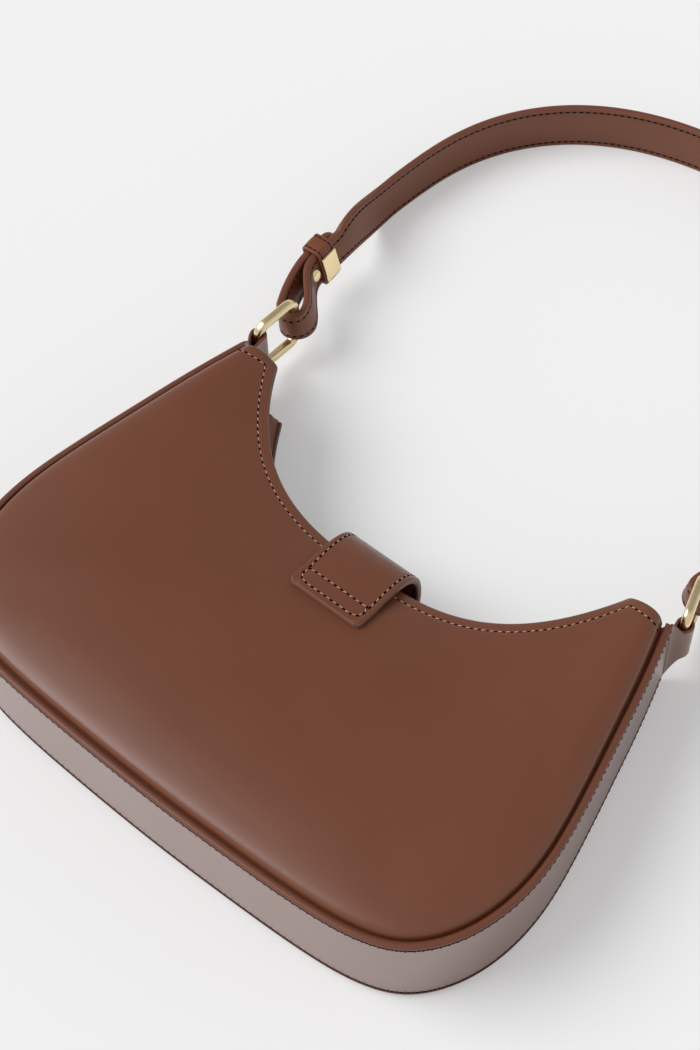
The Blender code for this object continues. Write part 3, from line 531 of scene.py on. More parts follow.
def left_normals(line: Array) -> Array:
    """Unit normals on the left hand of a 2-D line."""
    heading = unit(np.gradient(line, axis=0))
    return np.stack([-heading[:, 1], heading[:, 0]], axis=1)


def ways_at(angles: Array | float) -> Array:
    """Unit ways at these angles from the X axis."""
    return np.stack([np.cos(angles), np.sin(angles)], axis=-1)


def level(ways: Array) -> Array:
    """2-D ways as level 3-D ones."""
    return np.concatenate([ways, np.zeros((len(ways), 1))], axis=1)


def turned_to(axes: Matrix, points: Sequence[Sequence[float]]) -> Array:
    """Points given on a frame's axes, as points of the scene."""
    return np.array([(axes @ Vector(point))[:] for point in points])


def round_corners(half_width: float, half_height: float, corner: float, steps: int) -> Rows:
    """The rounded corners of a rectangle, one after the other.

    Args:
        half_width: Half the rectangle's width.
        half_height: Half its height.
        corner: The radius of its corners.
        steps: How many points each corner has.

    Returns:
        The middle that each point turns about, and its way out from there.
    """
    middles, ways = [], []
    for quarter, (x, y) in enumerate(((1, 1), (-1, 1), (-1, -1), (1, -1))):
        for turn in np.linspace(0.0, math.pi / 2, steps) + quarter * math.pi / 2:
            middles.append((x * (half_width - corner), y * (half_height - corner)))
            ways.append((math.cos(turn), math.sin(turn)))
    return np.array(middles), np.array(ways)


def hermite(
    start: Array, leaving: float, end: Array, arriving: float, count: int, fullness: float = 1.0
) -> Array:
    """Points on a smooth curve between two places.

    Args:
        start: The first place.
        leaving: The heading there, in radians.
        end: The last place.
        arriving: The heading there, in radians.
        count: How many points to give.
        fullness: How far the curve keeps to its headings.

    Returns:
        The points.
    """
    first, last = np.asarray(start, float), np.asarray(end, float)
    reach = fullness * np.linalg.norm(last - first)
    leave, arrive = reach * ways_at(leaving), reach * ways_at(arriving)
    t = np.linspace(0.0, 1.0, count)[:, None]
    ends = (2 * t**3 - 3 * t**2 + 1) * first + (3 * t**2 - 2 * t**3) * last
    return ends + (t**3 - 2 * t**2 + t) * leave + (t**3 - t**2) * arrive


def smoothstep(share: Array) -> Array:
    """An even rise from 0 to 1 with level ends."""
    share = np.clip(share, 0.0, 1.0)
    return share * share * (3 - 2 * share)


def tree_of(piece: Piece) -> BVHTree:
    """A search tree over a piece's faces."""
    points = [v.co.copy() for v in piece.data.vertices]
    return BVHTree.FromPolygons(points, [tuple(f.vertices) for f in piece.data.polygons])


HELD_LEATHER: dict[str, object] = {
    "quality": 8,
    "mass": 0.3,
    "tension_stiffness": 25.0,
    "compression_stiffness": 25.0,
    "bending_stiffness": 4.0,
    "use_pressure": True,
    "uniform_pressure_force": 4.0,
    "vertex_group_mass": "held",
}
SWELLING_FRAMES = 20


def swollen(grid: Array, sign: int) -> Array:
    """Simulates a sheet that is held all round while the stuffing presses it outwards.

    Args:
        grid: The sheet's points, in rows.
        sign: 1 where outwards is up, -1 where it is down.

    Returns:
        How far each point rises.
    """
    rows, columns = grid.shape[:2]
    mesh = bpy.data.meshes.new("held_sheet")
    mesh.from_pydata(grid.reshape(-1, 3).tolist(), [], wall_faces(rows, columns).tolist())
    if mesh.polygons[0].normal.z * sign < 0:
        mesh.flip_normals()
    sheet = in_scene("held_sheet", mesh)
    held = np.zeros((rows, columns), bool)
    held[[0, -1]] = held[:, [0, -1]] = True
    sheet.vertex_groups.new(name="held").add(np.flatnonzero(held).tolist(), 1.0, "REPLACE")
    cloth = sheet.modifiers.new("swell", "CLOTH")
    for name, value in HELD_LEATHER.items():
        setattr(cloth.settings, name, value)
    cloth.settings.effector_weights.gravity = 0.0
    cloth.collision_settings.use_collision = False
    cloth.point_cache.frame_start, cloth.point_cache.frame_end = 1, SWELLING_FRAMES
    for step in range(1, SWELLING_FRAMES + 1):
        bpy.context.scene.frame_set(step)
    solved = sheet.evaluated_get(bpy.context.evaluated_depsgraph_get())
    flat = np.empty(len(mesh.vertices) * 3)
    solved.data.vertices.foreach_get("co", flat)
    bpy.data.objects.remove(sheet)
    bpy.data.meshes.remove(mesh)
    bpy.context.scene.frame_set(1)
    return flat.reshape(rows, columns, 3)[..., 2] - grid[..., 2]


@dataclass(frozen=True)
class Bead:
    """A rounded bead of paint over a raw edge: how far it stands out and how deep its foot lies."""

    height: float
    foot: float
    inset: float = 0.0001
    steps: int = 11
    flatness: float = 0.7
    fullness: float = 0.7

    def profile(self, near: float, far: float) -> Rows:
        """Points of its section, as places between near and far and distances beyond the edge."""
        turns = np.linspace(0.0, math.pi, self.steps)
        bulge = np.sign(np.cos(turns)) * np.abs(np.cos(turns)) ** self.flatness
        beyond = -self.foot + (self.height + self.foot) * np.sin(turns) ** self.fullness
        return (near + far) / 2 + (far - near) / 2 * bulge, beyond


# Seams


@dataclass(frozen=True)
class Seam:
    """A row of stitches: thread between needle holes, whose near-black colour is painted shade."""

    thread: Finish = Finish.THREAD
    pitch: float = 0.0031
    thread_radius: float = 0.00015
    thread_share: float = 0.54
    thread_rise: float = 0.00002
    slant: float = 0.00022
    hole_radius: float = 0.00048
    hole_length: float = 0.00084
    hole_lift: float = 0.00003
    hole_taper: float = 0.7
    hole_sides: int = 8
    table_clearance: float = 0.0009
    table_facing: float = -0.3
    longest: float = 1.6
    sides: int = 6
    flatness: float = 0.8
    stations: tuple[float, ...] = (-0.5, -0.42, -0.2, 0.2, 0.42, 0.5)
    lifts: tuple[float, ...] = (-0.9, -0.1, 0.8, 0.8, -0.1, -0.9)
    girths: tuple[float, ...] = (0.6, 0.95, 1.0, 1.0, 0.95, 0.6)

    def sew(self, name: str, path: Array, normals: Array, body: str, closed: bool = False) -> None:
        """Sews stitches along a path on a surface.

        Args:
            name: The seam's name.
            path: Points on the surface.
            normals: The surface's outward normals there.
            body: The body that it rides on.
            closed: Whether the path joins up.
        """
        place = lengths(path)
        count = max(int(round(place[-1] / self.pitch)), 1)
        at = np.linspace(0.0, place[-1], count + 1)
        spots, outs = at_places(path, place, at), unit(at_places(normals, place, at))
        clear = (spots[:, 2] > self.table_clearance) | (outs[:, 2] > self.table_facing)
        spots, outs = spots[clear], outs[clear]
        threads, thread_faces = self._threads(spots, outs)
        own = slice(-1) if closed else slice(None)
        holes, hole_faces = self._holes(spots[own], outs[own])
        faces = thread_faces + repeated(hole_faces, [len(threads)])
        slots = [0] * len(thread_faces) + [1] * len(hole_faces)
        # The holes take the near-black finish, painted shade for the shadow in each hole.
        piece = new_piece(name, np.concatenate([threads, holes]), faces, [self.thread, Finish.HOLE], slots)
        settle(piece, body, "lining")

    def _threads(self, spots: Array, outs: Array) -> tuple[Array, list[list[int]]]:
        """The threads between neighbouring holes.

        Args:
            spots: The holes' places.
            outs: The surface's normals there.

        Returns:
            The threads' points and faces.
        """
        way = spots[1:] - spots[:-1]
        out = unit(outs[:-1] + outs[1:])
        side = unit(np.cross(out, way))
        along = 0.5 + self.thread_share * np.array(self.stations)
        lift = np.array(self.lifts) * self.thread_radius + self.thread_rise
        girth = np.array(self.girths) * self.thread_radius
        turn = (np.arange(self.sides) * math.tau / self.sides)[:, None]
        centre = spots[:-1, None] + way[:, None] * along[:, None] + out[:, None] * lift[:, None]
        centre = centre + side[:, None] * ((along - 0.5) * 2 * self.slant)[:, None]
        ring = side[:, None, None] * np.cos(turn) + out[:, None, None] * (self.flatness * np.sin(turn))
        points = centre[:, :, None] + ring * girth[:, None, None]
        size = len(along) * self.sides
        one = wall_faces(len(along), self.sides, closed_columns=True).tolist()
        one += [list(range(self.sides))[::-1], list(range(size - self.sides, size))]
        near = np.linalg.norm(way, axis=1) <= self.longest * self.pitch
        return points.reshape(-1, 3), repeated(one, (np.flatnonzero(near) * size).tolist())

    def _holes(self, spots: Array, outs: Array) -> tuple[Array, list[list[int]]]:
        """The small pits that the thread goes down, coloured near black as painted shade.

        Args:
            spots: Their places.
            outs: The surface's normals there.

        Returns:
            The pits' points and faces.
        """
        side = unit(np.cross(outs, np.gradient(spots, axis=0)))
        along = np.cross(side, outs) * self.hole_length
        side = side * self.hole_radius
        count = self.hole_sides
        turn = (np.arange(count) * math.tau / count)[:, None]
        disc = side[:, None] * np.cos(turn) + along[:, None] * np.sin(turn)
        top = spots[:, None] + disc + outs[:, None] * self.hole_lift
        low = spots[:, None] + disc * self.hole_taper - outs[:, None] * self.hole_radius
        points = np.concatenate([top, low], axis=1).reshape(-1, 3)
        one = [list(range(count)), list(range(count, 2 * count))[::-1]]
        one += [[j, count + j, count + (j + 1) % count, (j + 1) % count] for j in range(count)]
        return points, repeated(one, range(0, len(points), 2 * count))


PLAIN_SEAM = Seam()
DARK_SEAM = Seam(Finish.DARK_THREAD)
FINE_SEAM = Seam(Finish.DARK_THREAD, pitch=0.0024, hole_radius=0.0003)
# The rim's seam has thicker thread and larger holes. Their near-black colour gives the dark dashes along the
# rim as painted shade.
RIM_SEAM = Seam(Finish.DARK_THREAD, thread_radius=0.00028, hole_radius=0.00068, hole_length=0.00105)


# Leather strips


@dataclass
class Strip:
    """A flat leather strip, by its middle line, the side that faces out and its half width."""

    line: Array
    normal: Array
    across: Array
    half: Array
    seam_margin: float = 0.0023
    seam_width: float = 0.0009
    seam_depth: float = 0.00018
    rounding: float = 0.00055
    rounding_limits: Pair = (0.98, 0.9)
    corner_steps: int = 4
    end_steps: int = 24
    end_overhang: float = 0.0002
    edge: Finish = Finish.EDGE
    lean: "StrapLean | None" = None

    def section(self, half: float, near: float, far: float, nominal: float) -> Array:
        """Points round one cross-section of a leather.

        Args:
            half: Half its width.
            near: Its inner face, out from the middle line.
            far: Its outer face.
            nominal: Half the strip's usual width, which the seams go by.

        Returns:
            The points, as (across, out) pairs.
        """
        thick, wide = self.rounding_limits
        radius = min(self.rounding, (far - near) / 2 * thick, half * wide)
        flat = half - radius
        seam = max(nominal - self.seam_margin, 0.0)
        steps = [max(seam + self.seam_width * k, 0.0) for k in (-1.0, -0.5, 0.0, 0.5, 1.0)]
        dents = [self.seam_depth * d for d in (0.0, 0.5, 1.0, 0.5, 0.0)]
        right = [(flat * min(step / (nominal - radius), 1.0), -dent) for step, dent in zip(steps, dents)]
        face = [(-w, o) for w, o in right[::-1]] + [(0.0, 0.0)] + right
        points = [(w, far + o) for w, o in face]
        points += self._corner(flat, far - radius, radius, 90, 0)
        points += self._corner(flat, near + radius, radius, 0, -90)
        points += [(w, near - o) for w, o in face[::-1]]
        points += self._corner(-flat, near + radius, radius, -90, -180)
        points += self._corner(-flat, far - radius, radius, 180, 90)
        return np.array(points)

    def _corner(self, w: float, o: float, radius: float, start: float, stop: float) -> list[Pair]:
        """Points round one rounded edge."""
        turns = np.radians(np.linspace(start, stop, self.corner_steps + 1))
        return [(w + radius * math.cos(t), o + radius * math.sin(t)) for t in turns]

    def layer(self, name: str, near: float, far: float, finish: Finish) -> Piece:
        """One leather of the strip.

        Args:
            name: The piece's name.
            near: Its inner face, out from the middle line.
            far: Its outer face.
            finish: Its finish.

        Returns:
            The piece.
        """
        nominal = float(np.median(self.half))
        loops = []
        for spot, out, half in zip(self.line, self.normal, self.half.tolist()):
            section = self.section(half, near, far, max(nominal, half))
            loops.append(spot + self.across * section[:, :1] + out * section[:, 1:])
        return tube_piece(name, self._leaned(np.array(loops)), finish)

    def two_leathers(
        self, name: str, leather: float, gap: float, finish: Finish, body: str, *nodes: str
    ) -> float:
        """Builds two leathers back to back.

        Args:
            name: How the pieces' names begin.
            leather: How thick each is.
            gap: The glue between them.
            finish: The outer one's finish.
            body: The body that they ride on.
            nodes: The nodes that the outer and the inner one replace.

        Returns:
            How far their faces lie from the middle line.
        """
        inner, outer = gap / 2, gap / 2 + leather
        settle(self.layer(f"{name}_outer", inner, outer, finish), body, "leather", nodes[0])
        settle(self.layer(f"{name}_inner", -outer, -inner, Finish.BACKING), body, "leather", nodes[1])
        return outer

    def _leaned(self, points: Array) -> Array:
        """The points, leaned where the strip leans."""
        return self.lean.points(points) if self.lean else points

    def painted_edge(self, name: str, side: int, reach: float, bead: Bead) -> Piece:
        """The paint along one edge, over all its leathers.

        Args:
            name: The piece's name.
            side: 1 for the edge at +across, -1 for the other.
            reach: How far the faces lie from the middle line.
            bead: The bead's form.

        Returns:
            The painted edge.
        """
        outward, beyond = bead.profile(bead.inset - reach, reach - bead.inset)
        loops = []
        for spot, out, half in zip(self.line, self.normal, self.half):
            rise = side * (half + beyond)
            loops.append(spot + self.across * rise[:, None] + out * outward[:, None])
        return tube_piece(name, self._leaned(np.array(loops)), self.edge)

    def end_edge(self, name: str, reach: float, bead: Bead) -> Piece:
        """The paint across the strip's first end.

        Args:
            name: The piece's name.
            reach: How far the faces lie from the middle line.
            bead: The bead's form.

        Returns:
            The painted edge.
        """
        outward, beyond = bead.profile(bead.inset - reach, reach - bead.inset)
        way = unit(self.line[0] - self.line[1])
        profile = self.line[0] + self.normal[0] * outward[:, None] + way * beyond[:, None]
        across = np.linspace(-1.0, 1.0, self.end_steps) * (self.half[0] + self.end_overhang)
        return tube_piece(name, profile[None] + across[:, None, None] * self.across, self.edge)

    def place(self, at: Array, sideways: Array | float, out: float) -> Rows:
        """Points at distances along the strip.

        Args:
            at: Distances along the middle line.
            sideways: How far to the side they lie.
            out: How far out from the middle line.

        Returns:
            The points and the outward normals there.
        """
        knots = lengths(self.line)
        normals = unit(at_places(self.normal, knots, at))
        spots = at_places(self.line, knots, at)
        aside = np.broadcast_to(sideways, at.shape)[:, None] * self.across
        return spots + normals * out + aside, normals

    def edge_row(self, side: int, margin: float, out: float, pick: slice) -> Rows:
        """A row of points along one edge of a face.

        Args:
            side: 1 for the edge at +across, -1 for the other.
            margin: How far in from the edge it lies.
            out: How far out from the middle line, negative on the inner face.
            pick: The stations that it runs over.

        Returns:
            The points and the outward normals there.
        """
        reach = side * (self.half[pick] - margin)
        spots = self.line[pick] + self.across * reach[:, None] + self.normal[pick] * out
        normals = self.normal[pick] * math.copysign(1.0, out)
        if self.lean:
            return self.lean.points(spots), self.lean.normals(spots, normals)
        return spots, normals


# The body of the bag


class Side(Enum):
    """Which of the two panels: the back one, on top, or the front one, on the table."""

    BACK = 1
    FRONT = -1

    @property
    def word(self) -> str:
        """The word that its pieces' names begin with."""
        return self.name.lower()


@dataclass
class BodyForm:
    """The outline of the bag, its mouth and the lines between them, in the bag's own drawing."""

    width: float = 0.260
    height: float = 0.177
    corner_span: float = 0.2156
    mouth_span: float = 0.1758
    mouth_dip: float = 0.0503
    mouth_roundness: float = 0.30
    horn_bulge: float = 0.0004
    horn_fall: float = 0.0022
    horn_depth: float = 0.010
    depth_at_bottom: float = 0.0455
    depth_at_top: float = 0.042
    front_lift: float = 0.002
    gusset_leather: float = 0.0013
    panel_leather: float = 0.0012
    gap: float = 0.0003
    rim_height: float = 0.0018
    groove_width: float = 0.0007
    shoulder_radius: float = 0.0008
    back_crown: float = 0.0050
    front_crown: float = 0.0030
    crown_peak_power: float = 0.6
    crown_fullness: float = 0.7
    mouth_sag: float = 0.0060
    mouth_sag_power: float = 4.5
    flat_mouth_share: float = 0.22
    stations: int = 300
    bend_share: float = 0.3
    horn_power: float = 1.3
    lower_outline_shares: tuple[Pair, ...] = (
        *((0.0, 1.0), (0.34, 0.995), (0.56, 0.986), (0.70, 0.971)),
        *((0.835, 0.931), (0.935, 0.846), (0.99, 0.727)),
    )
    upper_outline_shares: tuple[Pair, ...] = (
        *((0.0, 0.63), (0.142, 0.477), (0.465, 0.279), (0.735, 0.127), (1.0, 0.0)),
    )

    def __post_init__(self) -> None:
        """Draws the outline and the mouth and reads where the frame stands."""
        half, corner = self.width / 2, self.corner_span / 2
        right = [(half * x, -self.height * y) for x, y in self.lower_outline_shares]
        right += [(half + (corner - half) * x, -self.height * y) for x, y in self.upper_outline_shares]
        left = [(-x, y) for x, y in right[:0:-1]]
        fine = natural_spline(left + right)
        self.outline = resampled(fine, self.stations + 1, self.bend_share)
        across = np.linspace(-1.0, 1.0, len(fine))
        dip = 1 - self.mouth_roundness * across**2 - (1 - self.mouth_roundness) * across**4
        mouth = np.stack([across * self.mouth_span / 2, -self.mouth_dip * dip], axis=1)
        self.mouth = resampled(mouth, self.stations + 1)
        self.tangent = unit(np.gradient(self.outline, axis=0))
        self.inward = left_normals(self.outline)
        ruled = self.mouth - self.outline
        self.reach = np.linalg.norm(ruled, axis=1)
        self.ruled = ruled / self.reach[:, None]
        self.slant = (self.ruled * self.inward).sum(axis=1)
        self.flange_outer = self.gusset_leather + self.gap
        self.flange_inner = self.flange_outer + self.panel_leather
        self.groove_inner = self.flange_inner + self.groove_width
        self.shift = float(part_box("gusset")[0].y) + self.height
        self.pivot_height = self.front_lift + self.depth_at_top / 2

    def world(self, places: Array, heights: Array | float) -> Array:
        """Points of the frame from places in the drawing and heights."""
        heights = np.broadcast_to(heights, places.shape[:-1])
        return np.concatenate([places, heights[..., None]], axis=-1) + np.array([0.0, self.shift, 0.0])

    def horned(self, points: Array) -> Array:
        """Bows the tops of the horns out a little and lets them fall towards the outline.

        Args:
            points: Points of the frame.

        Returns:
            The moved points.
        """
        horned = points.copy()
        low, high = self.mouth_span / 2, self.corner_span / 2
        share = np.clip((np.abs(points[..., 0]) - low) / (high - low), 0.0, 1.0)
        move = self.horn_bulge * 4 * share * (1 - share) - self.horn_fall * share**self.horn_power
        horned[..., 1] += move * np.exp(np.minimum(points[..., 1] - self.shift, 0.0) / self.horn_depth)
        return horned

    def inset(self, depth: float) -> Array:
        """The outline drawn in by a depth square to it, station by station."""
        return self.outline + self.ruled * (depth / self.slant)[:, None]

    def panel_length(self) -> Array:
        """What is left of each line, from the inner side of the groove to the mouth."""
        return self.reach - self.groove_inner / self.slant

    def rim(self, places: Array, side: Side) -> Array:
        """The height of a panel's rim over places in the drawing."""
        if side is Side.FRONT:
            return np.full(places.shape[:-1], self.front_lift)
        share = -places[..., 1] / self.height
        return self.front_lift + self.depth_at_top + (self.depth_at_bottom - self.depth_at_top) * share

    def sag(self, share: Array) -> Array:
        """How far a panel falls in, by its share of the way from the groove to the mouth."""
        across = np.abs(self.mouth[:, 0]) / (self.mouth_span / 2)
        narrow = 1 - smoothstep((across - self.flat_mouth_share) / (1 - self.flat_mouth_share))
        return self.mouth_sag * narrow * share**self.mouth_sag_power

    def behind(self, distance: Array, side: Side, depth: Number) -> Rows:
        """Places and heights of a layer behind a panel, at a distance from the mouth on each line."""
        places = self.mouth - self.ruled * distance[:, None]
        sag = self.sag(np.clip(1 - distance / self.panel_length(), 0.0, 1.0))
        return places, self.rim(places, side) - side.value * (depth + sag)

    def face(self, distance: Array, side: Side) -> Rows:
        """A panel's outer face.

        Args:
            distance: The distance from the groove on each line.
            side: The panel.

        Returns:
            Places in the drawing and heights.
        """
        length = self.panel_length()
        places = self.inset(self.groove_inner) + self.ruled * distance[:, None]
        share = np.clip(distance / length, 0.0, 1.0)
        crown = self.back_crown if side is Side.BACK else self.front_crown
        swell = crown * np.clip(np.sin(np.pi * share**self.crown_peak_power), 0, 1) ** self.crown_fullness
        groove = self.rim_height * np.exp(-distance / self.shoulder_radius)
        outward = swell - groove - self.sag(share)
        rim = self.rim(places, side)
        height = rim + outward if side is Side.BACK else np.maximum(rim - outward, 0.0)
        return places, height


@dataclass
class Panel:
    """One leather panel with its turned-up rim, its groove, its swelling face and its sewn mouth edge."""

    form: BodyForm
    side: Side
    edge_rounding: float = 0.00055
    rim_end_drop: float = 0.0002
    rim_profile: tuple[Pair, ...] = ((-0.0004, 0.0002), (-0.0001, 0.0004), (0.0, 0.0008))
    groove_profile: tuple[Pair, ...] = ((0.00005, 0.75), (0.0002, 0.97), (0.00045, 1.02))
    seam_margin: float = 0.0041
    seam_width: float = 0.0007
    seam_depth: float = 0.00022
    seam_tuck: float = 0.0006
    dent_zone: float = 0.012
    face_rows: int = 46
    edge_rows: int = 16
    edge_zone: float = 0.0060
    row_power: float = 1.7
    swell_rows: int = 25
    swell_stride: int = 4
    swell_limit: float = 0.0008
    smoothings: int = 3
    brink_start: int = 4
    brink_step: float = 0.0006
    brink: Bead = Bead(0.00030, 0.00060, inset=-0.00008)
    mouth_points: int = 400
    dent_points: int = 500
    dent_parts: int = 10
    seam_points: int = 700

    def build(self) -> None:
        """Builds the panel and its seam, and dresses it."""
        form, sign = self.form, self.side.value
        flange = self._flange_rows()
        grid = np.array([form.world(places, heights) for places, heights in flange + self._face_rows()])
        grid = form.horned(grid)
        self._dent(grid[len(flange) :])
        under = grid.copy()
        under[..., 2] -= sign * form.panel_leather
        for row, (places, _) in zip(under, flange[:4]):
            row[:, 2] = form.rim(places, self.side) - sign * (form.rim_height + form.panel_leather)
        start = len(flange) + self.brink_start
        self.edge = np.concatenate([grid[start:, 0], grid[-1, 1:-1], grid[start:, -1][::-1]])
        piece = slab_piece(f"{self.side.word}_panel_leather", *self._rounded(grid, under), Finish.BODY)
        settle(piece, "bag", "leather", f"{self.side.word}_panel")
        self._sew(tree_of(piece))

    def _flange_rows(self) -> list[Rows]:
        """Places and heights of the rows over the turned-up rim and down to the bottom of the groove."""
        form = self.form
        profile = [(form.flange_outer, self.rim_end_drop)]
        profile += [(form.flange_inner + beyond, down) for beyond, down in self.rim_profile]
        foot = form.flange_inner
        profile += [(foot + beyond, form.rim_height * share) for beyond, share in self.groove_profile]
        rows = []
        for depth, down in profile:
            places = form.inset(depth)
            rows.append((places, form.rim(places, self.side) - self.side.value * down))
        return rows

    def _face_rows(self) -> list[Rows]:
        """Rows over the swelling face, closer together at the shoulder and at the mouth."""
        form = self.form
        length = form.panel_length()
        near = np.minimum(self.edge_zone, length / 3)
        shares = np.linspace(0.0, 1.0, self.face_rows) ** self.row_power
        distances = [(length - near) * share for share in shares]
        distances += [length - near * (1 - share) for share in np.linspace(0.0, 1.0, self.edge_rows)[1:]]
        shares, swelling = self._swelling()
        stations = np.arange(form.stations + 1)
        known = stations[:: self.swell_stride]
        rows = []
        for distance in distances:
            places, heights = form.face(distance, self.side)
            at = distance[known] / length[known]
            move = [np.interp(at[k], shares, swelling[:, k]) for k in range(len(known))]
            heights = heights + self.side.value * np.interp(stations, known, move)
            rows.append((places, np.maximum(heights, 0.0)))
        return rows

    def _swelling(self) -> Rows:
        """How far the foam blows the leather out, by a simulation of the leather as a held sheet.

        Returns:
            The rows' shares of the way from the groove to the mouth, and the swelling in metres there.
        """
        form, sign = self.form, self.side.value
        shares = np.linspace(0.0, 1.0, self.swell_rows)
        stations = slice(None, None, self.swell_stride)
        rows = [form.face(form.panel_length() * share, self.side) for share in shares]
        grid = np.array([form.world(places, heights)[stations] for places, heights in rows])
        swelling = swollen(grid, sign) * sign
        limit = self.swell_limit if self.side is Side.BACK else self.swell_limit / 2
        swelling = limit * np.tanh(np.maximum(swelling, 0.0) / limit)
        for _ in range(self.smoothings):
            upright = swelling[1:-1, 1:-1] * 2 + swelling[:-2, 1:-1] + swelling[2:, 1:-1]
            swelling[1:-1, 1:-1] = (upright + swelling[1:-1, :-2] + swelling[1:-1, 2:]) / 6
        log.info("%s panel swells by up to %.2f mm", self.side.word, swelling.max() * 1000)
        return shares, swelling

    def _seam_path(self) -> Array:
        """The places of the seam along the horns and the mouth, from the left groove to the right one."""
        form = self.form
        mouth = natural_spline([tuple(p) for p in form.mouth[:: form.stations // 20]], self.mouth_points)
        drawn = mouth - left_normals(mouth) * self.seam_margin
        top = self.seam_tuck - self.seam_margin
        drawn = drawn[drawn[:, 1] < top]
        reach = form.corner_span / 2 - form.groove_inner / form.slant[0] + self.seam_tuck
        low = top - form.horn_fall
        return np.concatenate([[[-reach, low]], drawn, [[reach, low]]])

    def _dent(self, rows: Array) -> None:
        """Presses the seam a little into the leather.

        Args:
            rows: The points of the panel's face, which it moves.
        """
        path = resampled(self._seam_path(), self.dent_points)
        flat = rows[..., :2] - np.array([0.0, self.form.shift])
        near = flat[..., 1] > -self.form.mouth_dip - self.dent_zone
        spots = flat[near]
        distance = np.full(len(spots), 1.0)
        for part in np.array_split(path, self.dent_parts):
            step = np.linalg.norm(spots[:, None] - part[None], axis=2).min(axis=1)
            distance = np.minimum(distance, step)
        dent = self.seam_depth * np.exp(-((distance / self.seam_width) ** 2))
        rows[..., 2][near] -= self.side.value * dent

    def _rounded(self, upper: Array, lower: Array) -> Rows:
        """Rounds the two faces towards each other along the mouth and the horns' tops.

        Args:
            upper: The points of the outer face.
            lower: The points of the inner face.

        Returns:
            Both faces with the rounding's rows.
        """
        size = self.edge_rounding
        steps = [(size * math.cos(t), size * (1 - math.sin(t))) for t in np.radians((90.0, 60.0, 30.0, 0.0))]

        def wrapped(face: Array, other: Array) -> Array:
            """One face with the rounding in place of its last row, towards the other face."""
            edge = face[-1]
            way, down = unit(edge - face[-2]), unit(other[-1] - edge)
            base = edge - way * size
            rows = [base + way * out + down * drop for out, drop in steps]
            return np.concatenate([face[:-1], np.array(rows)])

        first, second = wrapped(upper, lower), wrapped(lower, upper)
        for _ in range(2):
            first, second = first.transpose(1, 0, 2)[::-1], second.transpose(1, 0, 2)[::-1]
            first, second = wrapped(first, second), wrapped(second, first)
            first, second = first.transpose(1, 0, 2), second.transpose(1, 0, 2)
        return first, second

    def paint(self, depth: float) -> None:
        """Paints the raw edge along the horns and the mouth.

        Args:
            depth: The thickness of the leathers that meet there.
        """
        place = lengths(self.edge)
        path = at_places(self.edge, place, np.arange(0.0, place[-1], self.brink_step))
        path[1:-1] = (path[:-2] + path[1:-1] * 2 + path[2:]) / 4
        down, beyond = self.brink.profile(depth - self.brink.inset, self.brink.inset)
        loops = path[:, None] + level(left_normals(path[:, :2]))[:, None] * beyond[:, None]
        loops[..., 2] = np.maximum(loops[..., 2] - self.side.value * down, 0.0)
        settle(tube_piece(f"{self.side.word}_mouth_edge", loops, Finish.MOUTH_EDGE), "bag", "leather")

    def _sew(self, tree: BVHTree) -> None:
        """Sews the seam along the horns and the mouth.

        Args:
            tree: The search tree over the panel's faces.
        """
        sign = self.side.value
        spots, normals = [], []
        for x, y in resampled(self._seam_path(), self.seam_points):
            hit, normal, _, _ = tree.ray_cast(Vector((x, y + self.form.shift, sign)), -sign * UP)
            if hit is not None:
                spots.append(hit[:])
                normals.append(normal[:])
        out = np.array(normals)
        out *= np.sign(out[:, 2:]) * sign
        PLAIN_SEAM.sew(f"{self.side.word}_mouth_seam", np.array(spots), out, "bag")


@dataclass
class RingEnd:
    """Where one end of the strap lies: its ring's two bars and its keeper, seen from above."""

    name: str
    side: int
    reach: float
    loop_lean: float
    ring_lean: float
    form: BodyForm
    ring_length: float = 0.0213
    keeper_distance: float = 0.0350
    keeper_side: float = 20.5
    keeper_lean: float = 2.7

    def __post_init__(self) -> None:
        """Works out the places for the right hand."""
        corner = np.array([self.form.corner_span / 2, 0.0])
        self.near = corner + self.reach * ways_at(math.radians(90.0 - self.loop_lean))
        self.ring_way = ways_at(math.radians(90.0 + self.ring_lean))
        self.far = self.near + self.ring_length * self.ring_way
        self.keeper = self.far + self.keeper_distance * ways_at(math.radians(90.0 - self.keeper_side))
        self.heading = math.radians(90.0 - self.keeper_lean)
        self.way = ways_at(self.heading)
        self.inside = np.array([-self.way[1], self.way[0]])

    def placed(self, points: Array) -> Array:
        """Places of the right-hand drawing, mirrored for the left end."""
        return np.asarray(points, float) * np.array([self.side, 1.0])

    def level(self, way: Array) -> Vector:
        """A way of the right-hand drawing, as a level one of the scene."""
        return Vector((*self.placed(way), 0.0))

    def axes(self, place: Array, *ways: Vector) -> Matrix:
        """A frame on these axes over a place in the right-hand drawing, level with the rings' middle."""
        spot = self.placed(place)
        axes = Matrix.Identity(4)
        for column, way in enumerate(ways):
            axes.col[column] = (*way, 0.0)
        axes.col[3] = (spot[0], spot[1] + self.form.shift, self.form.pivot_height, 1.0)
        return axes


